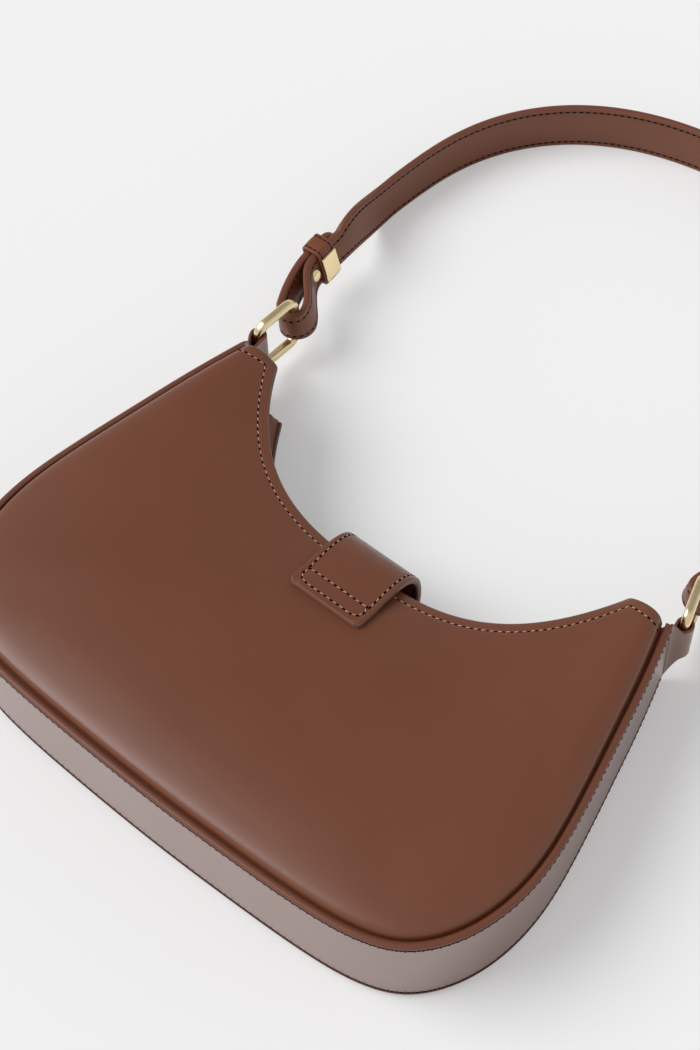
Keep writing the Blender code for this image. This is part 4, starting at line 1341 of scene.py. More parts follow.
@dataclass(frozen=True)
class StrapLean:
    """How the strap's upper edge leans away from the bag between the rings and the arch."""

    ends: tuple[RingEnd, RingEnd]
    slope_share: float = 0.28
    start: float = 0.0100
    rise: float = 0.0180
    stop: float = 0.0400
    fall: float = 0.0471
    bows: tuple[tuple[float, float, float], ...] = ((-0.00079, 0.0493, 0.0100), (0.00187, 0.0773, 0.0198))

    def _slopes(self, points: Array) -> Array:
        """How strongly the strap leans.

        Args:
            points: Points of the strap.

        Returns:
            How far each point moves sideways for each metre above the rings' middle.
        """
        total = np.zeros(points.shape[:-1])
        for end in self.ends:
            beyond = points[..., 1] - end.form.shift - end.far[1]
            slope = self.slope_share * smoothstep((beyond + self.start) / self.rise)
            slope = slope * (1 - smoothstep((beyond - self.stop) / self.fall))
            total += np.where(np.sign(points[..., 0]) == end.side, end.side * slope, 0.0)
        return total

    def bowed(self, line: Array) -> Array:
        """Bows the strap's middle line a little between each keeper and the arch.

        Args:
            line: The line as seen from above, in the drawing.

        Returns:
            The bowed line.
        """
        bowed = np.array(line, float)
        for end in self.ends:
            own = np.sign(line[:, 0]) == end.side
            for size, middle, width in self.bows:
                away = (line[:, 1] - end.far[1] - middle) / width
                bowed[:, 0] += own * end.side * size * np.exp(-(away**2))
        return bowed

    def points(self, points: Array) -> Array:
        """The points of a straight strap, leaned."""
        leaned = np.array(points, float)
        leaned[..., 0] += self._slopes(leaned) * (leaned[..., 2] - self.ends[0].form.pivot_height)
        return leaned

    def normals(self, points: Array, normals: Array) -> Array:
        """The normals of a straight strap at these points, leaned with it."""
        leaned = np.array(normals, float)
        leaned[..., 2] -= self._slopes(np.asarray(points, float)) * leaned[..., 0]
        return unit(leaned)


@dataclass
class Gusset:
    """The strip round the side of the bag, whose narrowed ends fold back round the rings."""

    form: BodyForm
    ends: tuple[RingEnd, RingEnd]
    loop_width: float = 0.0200
    loop_taper_share: float = 0.85
    loop_clearance: float = 0.0005
    loop_return: float = 0.0080
    wire_width: float = 0.0039
    fold_lean: float = 17.7
    arc_steps: int = 28
    leg_steps: int = 18
    rim_bead: Bead = Bead(0.00045, 0.0010, inset=-0.00015, steps=13, flatness=0.85)
    loop_bead: Bead = Bead(0.0002, 0.0006, inset=0.00005)
    seam_drop: float = 0.0021
    cross_seam_margins: Pair = (0.006, 0.004)
    cross_seam_slant: Pair = (0.0009, -0.0012)
    cross_seam_points: int = 40

    def _loop(self, end: RingEnd) -> Array:
        """One end of the strip, round the ring's near bar and back inside.

        Args:
            end: The end.

        Returns:
            Its middle line in the right-hand drawing.
        """
        form = self.form
        tangent, inward = form.tangent[-1], form.inward[-1]
        start = form.outline[-1] + inward * form.gusset_leather / 2
        radius = self.wire_width / 2 + self.loop_clearance + form.gusset_leather / 2
        toward = end.near - start
        axis = math.atan2(toward[1], toward[0])
        first, last = axis - math.pi / 2, axis + math.pi / 2 + math.radians(self.fold_lean)
        angles = np.linspace(first, last, self.arc_steps)
        arc = end.near + radius * ways_at(angles)
        heading = math.atan2(tangent[1], tangent[0])
        out = hermite(start, heading, arc[0], first + math.pi / 2, self.leg_steps)
        stop = start + inward * (form.gusset_leather + form.gap) - tangent * self.loop_return
        back = hermite(arc[-1], last + math.pi / 2, stop, heading + math.pi, self.leg_steps)
        return np.concatenate([out[1:-1], arc, back[1:]])

    def _strip(self) -> tuple[Strip, int, int]:
        """The whole strip from the left loop's end to the right one's.

        Returns:
            The strip, and its first station on the bag's outline and the one after its last there.
        """
        form = self.form
        line = form.inset(form.gusset_leather / 2)
        low = np.full(len(line), form.front_lift)
        high = form.rim(form.outline, Side.BACK)
        first, last = 0, len(line)
        seat = form.outline[-1:] + form.inward[-1:] * form.gusset_leather / 2
        rim = form.front_lift + form.depth_at_top
        for end in self.ends:
            loop = self._loop(end)
            along = lengths(np.concatenate([seat, loop]))[1:]
            share = smoothstep(along / (self.loop_taper_share * end.reach))
            bottom = form.front_lift + (form.pivot_height - self.loop_width / 2 - form.front_lift) * share
            top = rim + (form.pivot_height + self.loop_width / 2 - rim) * share
            pairs = ((line, end.placed(loop)), (low, bottom), (high, top))
            if end.side > 0:
                line, low, high = (np.concatenate([whole, part]) for whole, part in pairs)
            else:
                line, low, high = (np.concatenate([part[::-1], whole]) for whole, part in pairs)
                first, last = len(loop), last + len(loop)
        normal = level(-left_normals(line))
        places = form.world(line, (low + high) / 2)
        return Strip(places, normal, np.array(UP), (high - low) / 2, seam_depth=0.0), first, last

    def build(self) -> None:
        """Builds the strip, its painted rims and its seams."""
        strip, first, last = self._strip()
        face = self.form.gusset_leather / 2
        settle(strip.layer("gusset_leather", -face, face, Finish.GUSSET), "bag", "leather", "gusset")
        for side in Side:
            self._paint_rim(side)
            spots, normals = strip.edge_row(side.value, self.seam_drop, face, slice(first, last))
            RIM_SEAM.sew(f"{side.word}_rim_seam", spots, normals, "bag")
        spans = (("left", slice(0, first + 1)), ("right", slice(last - 1, len(strip.half))))
        for name, span in spans:
            loop = Strip(strip.line[span], strip.normal[span], strip.across, strip.half[span])
            for side in Side:
                edge = loop.painted_edge(f"{name}_loop_{side.word}_edge", side.value, face, self.loop_bead)
                settle(edge, "bag", "leather")
        knots = lengths(strip.line)
        above, below = self.cross_seam_margins
        for name, station, way in (("left", first, 1.0), ("right", last - 1, -1.0)):
            half = strip.half[station]
            sideways = np.linspace(half - above, below - half, self.cross_seam_points)
            at = knots[station] + way * np.linspace(*self.cross_seam_slant, self.cross_seam_points)
            FINE_SEAM.sew(f"{name}_cross_seam", *strip.place(at, sideways, face), "bag")

    def _paint_rim(self, side: Side) -> None:
        """Paints the sewn edges of the gusset and a panel.

        Args:
            side: The panel.
        """
        form, bead = self.form, self.rim_bead
        rows = []
        for depth, rise in zip(*bead.profile(form.flange_inner, bead.inset)):
            places = form.inset(depth)
            rows.append(form.world(places, form.rim(places, side) + side.value * rise))
        piece = tube_piece(f"{side.word}_rim_edge", np.array(rows).transpose(1, 0, 2), Finish.EDGE)
        settle(piece, "bag", "leather")

# The strap and its hardware


@dataclass
class StrapBand:
    """The strap: two leathers sewn back to back, folded round a ring at each end."""

    form: BodyForm
    ends: tuple[RingEnd, RingEnd]
    lean: StrapLean
    leather: float = 0.0013
    gap: float = 0.0003
    width: float = 0.0240
    end_width: float = 0.0140
    fold_clearance: float = 0.0010
    fold_slack: float = 0.0012
    wire_width: float = 0.0039
    arch_half_width: float = 0.1244
    arch_start: float = 0.1200
    arch_rise: float = 0.1137
    arch_power: float = 2.3
    leg_gap: float = 0.0004
    leg_straight: float = 0.0116
    leg_spread: float = 0.0064
    fold_shift: float = 0.0010
    tip_reach: float = 0.0130
    fold_turn: Pair = (-17.0, -175.0)
    fold_steps: int = 40
    leg_steps: int = 24
    rise_steps: int = 33
    arch_steps: int = 240
    corner_steps: int = 12
    tip_turn: float = 0.12
    upper_bead: Bead = Bead(0.00022, 0.0007)
    lower_bead: Bead = Bead(0.0, 0.0007)
    seam_end_stations: int = 10

    def _end_line(self, end: RingEnd) -> Array:
        """One end, from its tip round the ring to above the keeper.

        Args:
            end: The end.

        Returns:
            Its middle line in the right-hand drawing.
        """
        thickness = 2 * self.leather + self.gap
        offset = end.inside * (thickness + self.leg_gap) / 2
        outer_leg, inner_leg = end.keeper - offset, end.keeper + offset
        spread = end.way * self.leg_spread
        radius = self.wire_width / 2 + self.fold_clearance + self.fold_slack + thickness / 2
        angles = np.radians(np.linspace(*self.fold_turn, self.fold_steps))
        middle = end.far + end.way * self.fold_slack - end.inside * self.fold_shift
        arc = middle + radius * ways_at(angles)
        ways = angles - math.pi / 2
        rounding = self.end_width / 2
        steps = np.linspace(0.0, math.pi / 2, self.corner_steps + 1)
        tip = [outer_leg + end.way * (self.tip_reach - rounding * (1 - math.cos(s))) for s in steps]
        down = hermite(outer_leg - spread, end.heading + math.pi, arc[0], ways[0], self.leg_steps)
        up = hermite(arc[-1], ways[-1], inner_leg - spread, end.heading, self.leg_steps)
        straight = [inner_leg + end.way * self.leg_straight * s for s in (0.0, 0.5, 1.0)]
        between = [tip[-1] + (down[0] - tip[-1]) * s for s in (0.25, 0.5, 0.75)]
        return np.concatenate([tip, between, down, arc[1:-1], up, straight])

    def _strip(self) -> Strip:
        """The whole strap from its left tip to its right one.

        Returns:
            The strap as a strip.
        """
        parts = []
        share = np.linspace(0.0, 1.0, self.rise_steps + 1)[1:]
        foot = (self.arch_half_width, self.arch_start)
        high, end_half = self.form.pivot_height, self.end_width / 2
        steps = np.linspace(0.0, math.pi / 2, self.corner_steps + 1)
        widening = end_half + (self.width - self.end_width) / 2 * (1 - (1 - share) ** 2)
        settling = (high - end_half) * (1 - smoothstep(share)) + widening
        for end in self.ends:
            line = self._end_line(end)
            rise = hermite(line[-1], end.heading, foot, math.pi / 2, self.rise_steps + 1)[1:]
            half = np.full(len(line), end_half)
            half[: self.corner_steps + 1] = end_half * np.sin(np.maximum(steps, self.tip_turn))
            middle = np.concatenate([np.full(len(line), high), settling])
            parts.append((end.placed(np.concatenate([line, rise])), np.concatenate([half, widening]), middle))
        turn = np.linspace(0.0, math.pi, FINE_STEPS)
        power = 2 / self.arch_power
        x = -self.arch_half_width * np.sign(np.cos(turn)) * np.abs(np.cos(turn)) ** power
        arch = np.stack([x, self.arch_start + self.arch_rise * np.abs(np.sin(turn)) ** power], axis=1)
        arch = resampled(arch, self.arch_steps, self.form.bend_share)[1:-1]
        flat = np.full(len(arch), self.width / 2)
        pieces = zip(parts[0], (arch, flat, flat), parts[1])
        line, half, middle = (np.concatenate([left, top, right[::-1]]) for left, top, right in pieces)
        line = self.lean.bowed(line)
        normal = level(left_normals(line))
        return Strip(self.form.world(line, middle), normal, np.array(UP), half, lean=self.lean)

    def build(self) -> None:
        """Builds the strap's leathers, its painted edges and its seams."""
        strip = self._strip()
        nodes = ("strap_leather", "strap_backing")
        face = strip.two_leathers("strap", self.leather, self.gap, Finish.STRAP, "strap", *nodes)
        sewn = slice(self.seam_end_stations, len(strip.half) - self.seam_end_stations)
        for edge, side, bead in (("upper", 1, self.upper_bead), ("lower", -1, self.lower_bead)):
            settle(strip.painted_edge(f"strap_{edge}_edge", side, face, bead), "strap", "leather")
            for name, out in (("outer", face), ("inner", -face)):
                spots, normals = strip.edge_row(side, strip.seam_margin, out, sewn)
                DARK_SEAM.sew(f"strap_{edge}_{name}_seam", spots, normals, "strap")


@dataclass
class Ring:
    """A rectangular ring of bevelled wire."""

    end: RingEnd
    height: float = 0.0258
    corner: float = 0.0048
    wire: float = 0.0041
    section_power: float = 2.9
    section_steps: int = 32
    corner_steps: int = 13
    sharp_deg: float = 85.0

    def build(self) -> None:
        """Builds the ring round its rounded corners."""
        end, section = self.end, self._section()
        centre = (end.near + end.far) / 2
        across = np.array([end.ring_way[1], -end.ring_way[0]])
        loops = []
        corners = round_corners(end.ring_length / 2, self.height / 2, self.corner, self.corner_steps)
        for middle, out in zip(*corners):
            spots = middle + out * (self.corner + section[:, :1])
            places = centre + end.ring_way * spots[:, :1] + across * section[:, 1:]
            loops.append(end.form.world(end.placed(places), end.form.pivot_height + spots[:, 1]))
        piece = tube_piece(f"{end.name}_ring_wire", np.array(loops), Finish.GOLD, closed=True)
        piece.data.set_sharp_from_angle(angle=math.radians(self.sharp_deg))
        settle(piece, f"{end.name}_ring", "gold", f"ring_{end.name}")

    def _section(self) -> Array:
        """The wire's cross-section: a square with its corners rounded full."""
        turns = (np.arange(self.section_steps) + 0.5) * math.tau / self.section_steps
        points = ways_at(turns)
        return self.wire / 2 * np.sign(points) * np.abs(points) ** (2 / self.section_power)


@dataclass
class Keeper:
    """The leather band round both legs of the strap, with its metal plate."""

    end: RingEnd
    strap: StrapBand
    length: float = 0.0100
    wall: float = 0.0013
    corner: float = 0.0019
    clearance: float = 0.0004
    plate_length: float = 0.0091
    plate_height: float = 0.0116
    plate_thickness: float = 0.0008
    plate_bevel: float = 0.00030
    bevel_steps: int = 4
    bevel_fullness: float = 0.6
    edge_rounding: float = 0.00045
    edge_turns: Pair = (0.5, 1.1)
    seam_inset: float = 0.0016
    seam_half_width: float = 0.0005
    seam_dent: float = 0.00015
    seam_lift: float = 0.00002
    swell: float = 0.00012
    swell_reach: float = 0.001
    corner_points: int = 8
    seam_points: int = 200
    gap: float = 0.0003

    def __post_init__(self) -> None:
        """Works out the band's inner size."""
        self.across = 2 * self.strap.leather + self.strap.gap + self.strap.leg_gap / 2 + self.clearance
        self.over = self.strap.end_width / 2 + self.clearance
        self.body = f"{self.end.name}_keeper_band"
        end = self.end
        self.axes = end.axes(end.keeper, end.level(end.inside), end.level(end.way))

    def _loop(self, out: float, corner: float, along: float) -> Array:
        """A loop round the band in its own frame, by its distance out and its place along the strap."""
        middles, ways = round_corners(self.across + out, self.over + out, corner, self.corner_points)
        return np.insert(middles + corner * ways, 1, along, axis=1)

    def _placed(self, points: Array) -> Array:
        """Points of the keeper's own frame in the bag's."""
        return self.strap.lean.points(turned_to(self.axes, points))

    def build(self) -> None:
        """Builds the band, its seams and its plate."""
        half, r, wall = self.length / 2, self.edge_rounding, self.wall
        near, far = self.seam_inset - self.seam_half_width, self.seam_inset + self.seam_half_width
        profile = [(0.0, -half + r)]
        profile += [(r * (1 - math.cos(t)), -half + r * (1 - math.sin(t))) for t in self.edge_turns]
        profile += [(r, -half), (wall - r, -half)]
        profile += [(wall - r * (1 - math.sin(t)), -half + r * (1 - math.cos(t))) for t in self.edge_turns]
        profile += [(wall, -half + r), (wall, -half + near), (wall - self.seam_dent, -half + self.seam_inset)]
        profile += [(wall, -half + far), (wall + self.swell, -self.swell_reach)]
        profile += [(out, -along) for out, along in profile[::-1]]
        inner = self.corner - wall + self.gap
        loops = [self._placed(self._loop(out, inner + out, along)) for out, along in profile]
        piece = tube_piece(f"{self.end.name}_keeper_leather", np.array(loops), Finish.STRAP, closed=True)
        settle(piece, self.body, "leather", f"{self.end.name}_keeper")
        self._sew()
        self._plate()

    def _sew(self) -> None:
        """Sews the two rows round the band, which stop at the plate."""
        for row, side in (("lower", -1), ("upper", 1)):
            along = side * (self.length / 2 - self.seam_inset)
            loop = self._loop(self.wall + self.seam_lift, self.corner + self.gap, along)
            flat = resampled(loop[:, ::2], self.seam_points)
            placed = self._placed(np.insert(flat, 1, along, axis=1))
            outward = turned_to(self.axes.to_3x3(), np.insert(-left_normals(flat), 1, 0.0, axis=1))
            name = f"{self.end.name}_keeper_{row}_seam"
            FINE_SEAM.sew(name, placed, self.strap.lean.normals(placed, outward), self.body)

    def _plate(self) -> None:
        """Builds the metal plate on the band's face towards the bag."""
        work = bmesh.new()
        bmesh.ops.create_cube(work, size=1.0)
        size = (self.plate_thickness, self.plate_length, self.plate_height)
        bmesh.ops.scale(work, vec=size, verts=work.verts)
        inner = self.across + self.wall + self.gap
        bmesh.ops.translate(work, vec=(inner + self.plate_thickness / 2, 0, 0), verts=work.verts)
        bevel = {"offset": self.plate_bevel, "segments": self.bevel_steps, "profile": self.bevel_fullness}
        bmesh.ops.bevel(work, geom=work.edges[:], affect="EDGES", **bevel)
        points = self._placed([v.co[:] for v in work.verts])
        faces = [[v.index for v in f.verts] for f in work.faces]
        work.free()
        piece = new_piece(f"{self.end.name}_plate", points, faces, [Finish.GOLD], sharp_deg=30.0)
        settle(piece, self.body, "gold", f"{self.end.name}_keeper_plate")


@dataclass
class Stud:
    """The stud through both legs of the strap, and the cap that it screws into."""

    end: RingEnd
    strap: StrapBand
    keeper_length: float = 0.0100
    spacing: float = 0.0036
    head_radius: float = 0.0028
    head_height: float = 0.0014
    post_radius: float = 0.0013
    cap_radius: float = 0.0030
    cap_height: float = 0.0016
    bore_depth: float = 0.0009
    edge: float = 0.0004
    dome_turn: float = 1.45
    dome_steps: int = 9
    gap: float = 0.0003
    steps: int = 48

    def _axes(self) -> Matrix:
        """A frame on the stud's axis, whose Z points into the bag."""
        end = self.end
        inside = end.level(end.inside)
        place = end.keeper - end.way * (self.keeper_length / 2 + self.spacing)
        return end.axes(place, UP, inside.cross(UP), inside)

    def _turned(self, name: str, profile: Sequence[Pair]) -> Piece:
        """A piece turned on the stud's axis.

        Args:
            name: The piece's name.
            profile: Its radii and heights, which start and end on the axis.

        Returns:
            The piece.
        """
        turns = np.arange(self.steps) * math.tau / self.steps
        points = [(r * math.cos(t), r * math.sin(t), height) for r, height in profile[1:-1] for t in turns]
        points += [(0.0, 0.0, profile[0][1]), (0.0, 0.0, profile[-1][1])]
        faces = wall_faces(len(profile) - 2, self.steps, closed_columns=True).tolist()
        low, high = len(points) - 2, len(points) - 1
        last = low - self.steps
        for k in range(self.steps):
            after = (k + 1) % self.steps
            faces += [[low, after, k], [high, last + k, last + after]]
        placed = self.strap.lean.points(turned_to(self._axes(), points))
        return new_piece(name, placed, faces, [Finish.GOLD], sharp_deg=40.0)

    def build(self) -> None:
        """Builds the stud with its domed head, and its cap."""
        thickness = 2 * self.strap.leather + self.strap.gap
        face = thickness + self.strap.leg_gap / 2 + self.gap
        post_end = -face - self.bore_depth + self.gap
        edge, bore = self.edge, self.post_radius + self.gap
        turns = np.linspace(0.0, self.dome_turn, self.dome_steps)
        head = [(0.0, post_end), (self.post_radius, post_end), (self.post_radius, face)]
        head += [(self.head_radius - edge / 2, face), (self.head_radius, face + edge / 2)]
        rise = self.head_height - edge
        head += [(self.head_radius * math.cos(t), face + edge + rise * math.sin(t)) for t in turns]
        head += [(0.0, face + self.head_height)]
        rise = self.cap_height - edge
        cap = [(0.0, -face - self.cap_height)]
        cap += [(self.cap_radius * math.cos(t), -face - edge - rise * math.sin(t)) for t in turns[::-1]]
        floor = -face - self.bore_depth
        cap += [(self.cap_radius, -face), (bore, -face), (bore, floor), (0.0, floor)]
        for name, profile in (("stud", head), ("stud_cap", cap)):
            piece = self._turned(f"{self.end.name}_{name}_metal", profile)
            settle(piece, "strap", "gold", f"{self.end.name}_{name}")


# The closing tab


@dataclass
class ClosingTab:
    """Two leathers, sewn to the back panel at one end and arching over the mouth to the front."""

    form: BodyForm
    width: float = 0.0340
    back_reach: float = 0.0760
    front_reach: float = 0.0660
    split: float = 0.0668
    leaves_front: float = 0.0530
    outer_reach: float = 0.0368
    turn_height: float = 0.0235
    corner: float = 0.0020
    top_fullness: float = 1.5
    leaves_deg: float = -3.0
    front_fullness: float = 1.15
    leather: float = 0.0014
    gap: float = 0.0003
    box_near: float = 0.0022
    box_far: float = 0.0092
    box_chamfer: float = 0.0022
    box_end_share: float = 0.4
    box_points: int = 400
    corner_steps: int = 10
    seated_steps: int = 9
    arch_steps: tuple[int, int] = (50, 40)
    flat_steps: int = 8
    bead: Bead = Bead(0.00025, 0.0008)
    seam_start: float = 0.0006
    seam_points: int = 300

    def _line(self) -> tuple[Array, int]:
        """The tab's course from its sewn end to its free one.

        Returns:
            The middle line in Y and Z, and the station where the sewn end stops.
        """
        half = (2 * self.leather + self.gap) / 2
        tree = tree_of(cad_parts["back_panel"])

        def highest(y: float) -> float:
            """The back panel's highest point under a strip across it at y."""
            heights = []
            for share in (-1.0, -0.5, 0.0, 0.5, 1.0):
                start = Vector((share * self.width / 2, y + self.form.shift, 1.0))
                heights.append(tree.ray_cast(start, -UP)[0].z)
            return max(heights)

        turns = np.linspace(0.0, math.pi / 2, self.corner_steps + 1)
        rounding = self.corner * (1 - np.cos(turns))
        seated = np.linspace(self.corner, self.back_reach - self.split, self.seated_steps)
        stations = [d - self.back_reach for d in (*rounding, *seated[1:])]
        top = np.array([(y, highest(y) + self.gap + half) for y in stations])
        outermost = (-self.outer_reach - half, self.turn_height)
        floor = self.gap + half
        first, second = self.arch_steps
        leaves, down = math.radians(self.leaves_deg), -math.pi / 2
        over = hermite(top[-1], leaves, outermost, down, first, self.top_fullness)
        under = hermite(outermost, down, (-self.leaves_front, floor), -math.pi, second, self.front_fullness)
        straight = np.linspace(-self.leaves_front, -self.front_reach + self.corner, self.flat_steps)[1:-1]
        bottom = [(y, floor) for y in (*straight, *(rounding[::-1] - self.front_reach))]
        return np.concatenate([top, over[1:], under[1:], np.array(bottom)]), len(top) - 1

    def build(self) -> None:
        """Builds the tab's two stretches with their painted edges and seams."""
        line, split = self._line()
        along = lengths(line)
        missing = self.corner - np.minimum(np.minimum(along, along[-1] - along), self.corner)
        half = self.width / 2 - self.corner + np.sqrt(np.maximum(self.corner**2 - missing**2, 0.0))
        way = unit(line[split + 1] - line[split - 1])
        sewn, free = line[: split + 1].copy(), line[split:].copy()
        sewn[-1] -= way * self.gap / 2
        free[0] += way * self.gap / 2
        self._stretch("sewn", sewn, half[: split + 1], "bag", "tab_sewn_end")
        self._stretch("free", free, half[split:], "tab", "tab")
        self._sew(line, half, along, split)

    def _strip(self, line: Array, half: Array) -> Strip:
        """A strip of the tab's leathers along a line in Y and Z, by half its width at each station."""
        zero = np.zeros((len(line), 1))
        places = np.concatenate([zero, line[:, :1] + self.form.shift, line[:, 1:]], axis=1)
        outs = np.concatenate([zero, left_normals(line)], axis=1)
        # The tab's edges take the lighter edge finish, which carries a painted highlight.
        return Strip(places, outs, np.array([1.0, 0.0, 0.0]), half, rounding=0.0006, edge=Finish.TAB_EDGE)

    def _stretch(self, name: str, line: Array, half: Array, body: str, node: str) -> None:
        """Builds one stretch of the tab: its two leathers and the paint on their edges.

        Args:
            name: The stretch's name.
            line: Its middle line in Y and Z.
            half: Half its width at each station.
            body: The body that it rides on.
            node: How the names of the nodes begin that it replaces.
        """
        strip = self._strip(line, half)
        nodes = (f"{node}_leather", f"{node}_backing")
        face = strip.two_leathers(f"tab_{name}", self.leather, self.gap, Finish.BODY, body, *nodes)
        for edge, side in (("right", 1), ("left", -1)):
            settle(strip.painted_edge(f"tab_{name}_{edge}_edge", side, face, self.bead), body, "leather")
        if body == "tab":
            strip = self._strip(line[::-1], half[::-1])
        settle(strip.end_edge(f"tab_{name}_end_edge", face, self.bead), body, "leather")

    def _sew(self, line: Array, half: Array, along: Array, split: int) -> None:
        """Sews the box on the sewn end and the rows along both edges of the free one.

        Args:
            line: The tab's middle line in Y and Z.
            half: Half its width at each station.
            along: The distance along the line to each station.
            split: The station where the sewn end stops.
        """
        strip = self._strip(line, half)
        face = self.gap / 2 + self.leather
        reach = self.width / 2 - strip.seam_margin
        near, far, cut = self.box_near, self.box_far, self.box_chamfer
        end = (far, reach - cut * self.box_end_share)
        corners = [end, (far - cut, reach), (near + cut, reach), (near, reach - cut)]
        corners += [(at, -sideways) for at, sideways in corners[::-1]]
        path = resampled(np.array([*corners, end]), self.box_points)
        PLAIN_SEAM.sew("tab_box_seam", *strip.place(path[:, 0], path[:, 1], face), "bag", closed=True)
        stop = along[-1] - self.corner - strip.seam_margin
        at = np.linspace(along[split] + self.seam_start, stop, self.seam_points)
        for name, side in (("right", 1), ("left", -1)):
            PLAIN_SEAM.sew(f"tab_{name}_seam", *strip.place(at, side * reach, face), "tab")


# Inside


@dataclass(frozen=True)
class Backing:
    """A layer behind a panel."""

    depth: float
    start: float
    end: float
    taper: float
    finish: Finish


@dataclass
class Inside:
    """The cloth lining, the leather facings inside the mouth, the foam pads, and the boards and magnets."""

    form: BodyForm
    panels: Mapping[Side, Panel]
    wall_inset: float = 0.0041
    lining_depth: float = 0.0077
    lining_thickness: float = 0.0006
    lining_start: float = 0.0140
    lining_start_share: float = 0.4
    lining_rows: int = 18
    lining_turns_deg: tuple[float, ...] = (18, 36, 54, 72, 90)
    wall_rows: int = 9
    corner_radius: float = 0.0050
    corner_share: float = 0.3
    end_corner_share: float = 0.3
    fold_height: float = 0.0013
    fold_length: float = 0.041
    fold_sway: float = 2.2
    fold_turn: float = 5.0
    fold_phase: float = 0.6
    fold_power: float = 1.5
    crease_height: float = 0.0004
    crease_length: float = 0.0165
    crease_turn: float = 9.0
    folds_end_share: float = 0.16
    facing_rows: int = 32
    facing_row_power: float = 1.3
    facing_depth: float = 0.0200
    facing_leather: float = 0.0009
    facing_gap: float = 0.0001
    facing_turn: Pair = (0.0008, 0.0050)
    facing_seams: Pair = (0.0060, 0.0182)
    facing_seam_room: float = 0.02
    facing_seam_stop: int = 4
    end_turn: float = 0.0060
    pad: Backing = Backing(0.0050, 0.0052, 0.0042, 0.0040, Finish.FOAM)
    board: Backing = Backing(0.0065, 0.0045, 0.0054, 0.0006, Finish.BOARD)
    board_face: float = 0.0053
    layer_rows: int = 26
    layer_start_share: float = 0.3
    layer_margin: float = 0.0012
    layer_margin_share: float = 0.1
    layer_edge_share: float = 0.12

    def build(self) -> None:
        """Builds the lining, the facings and the pads, and dresses the hidden pieces."""
        self._lining()
        for side in Side:
            self._facing(side)
            self.panels[side].paint(self.form.panel_leather + self.facing_leather + self.facing_gap)
            self._stuff(side)
        magnets = dict.fromkeys(("tab_magnet", "panel_magnet"), Finish.MAGNET)
        for node, finish in {"gusset_stiffener": Finish.BOARD, **magnets}.items():
            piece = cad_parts[node]
            piece.data.materials.clear()
            piece.data.materials.append(dressed(finish))
            log.info("%s is dressed in %s", node, finish.value.name)

    def _lining(self) -> None:
        """The cloth: down one panel, round the wall and up the other, in soft folds."""
        form = self.form
        wall, radius = self._corner()
        start = np.minimum(self.lining_start, wall * self.lining_start_share)
        toward_mouth = level(form.ruled)
        turns = np.radians(self.lining_turns_deg).tolist()
        sheets = []
        for side in Side:
            points = []
            for share in np.linspace(0.0, 1.0, self.lining_rows):
                places, heights = self._facing_rows(side, start + (wall - radius - start) * share)
                points.append(form.horned(form.world(places, heights + side.value * self.facing_gap)))
            bend = points[-1]
            for turn in turns:
                spot = bend - toward_mouth * (radius * math.sin(turn))[:, None]
                spot[:, 2] -= side.value * radius * (1 - math.cos(turn))
                points.append(spot)
            down = np.array([0.0, 0.0, -side.value])
            ways = [math.cos(t) * down + math.sin(t) * toward_mouth for t in [0.0] * self.lining_rows + turns]
            sheets.append((points, ways))
        (back, back_ways), (front, front_ways) = sheets
        shares = np.linspace(0.0, 1.0, self.wall_rows)[1:-1]
        between = [back[-1] + (front[-1] - back[-1]) * share for share in shares]
        inner = np.array(back + between + front[::-1])
        ways = np.array(back_ways + [toward_mouth] * len(between) + front_ways[::-1])
        inner += ways * self._folds(len(inner))[..., None]
        piece = slab_piece("cloth_lining", inner, inner - ways * self.lining_thickness, Finish.LINING)
        settle(piece, "bag", "lining", "lining")

    def _end_room(self) -> Array:
        """How far each station stands from the horns' tops, along the middle of the panel."""
        along = lengths((self.form.outline + self.form.mouth) / 2)
        return np.minimum(along, along[-1] - along)

    def _corner(self) -> Rows:
        """How far the cloth's wall is from the mouth at each station, and the radius of its corner there."""
        wall = self.form.reach - self.wall_inset / self.form.slant
        radius = np.minimum(self.corner_radius, wall * self.corner_share)
        least = self.end_corner_share
        return wall, radius * (least + (1 - least) * smoothstep(self._end_room() / self.end_turn))

    def _folds(self, rows: int) -> Array:
        """How far the cloth stands off its wall.

        Args:
            rows: How many rows of points it has.

        Returns:
            The distance for each row and station.
        """
        along = lengths(self.form.outline)[None, :] * math.tau
        share = np.linspace(0.0, 1.0, rows)[:, None]
        sway = self.fold_sway * np.sin(self.fold_turn * share + self.fold_phase)
        fold = 0.5 + 0.5 * np.sin(along / self.fold_length + sway)
        crease = 0.5 + 0.5 * np.sin(along / self.crease_length + self.crease_turn * share)
        free = smoothstep(share / self.folds_end_share) * smoothstep((1 - share) / self.folds_end_share)
        return free * (self.fold_height * fold**self.fold_power + self.crease_height * crease)

    def _facing_rows(self, side: Side, distance: Array) -> Rows:
        """A facing's hidden face.

        Args:
            side: The panel that it lies behind.
            distance: The distance from the mouth on each line.

        Returns:
            Places in the drawing and heights.
        """
        form = self.form
        length = form.panel_length()
        _, face = form.face(length - distance, side)
        near = face - side.value * (form.panel_leather + self.facing_gap)
        places, deep = form.behind(distance, side, self.lining_depth + self.facing_gap)
        first, last = self.facing_turn
        share = smoothstep((distance - first) / (last - first))
        near = near - side.value * (self.lining_thickness + self.facing_gap) * share
        return places, near + (deep - near) * share * smoothstep(self._end_room() / self.end_turn)

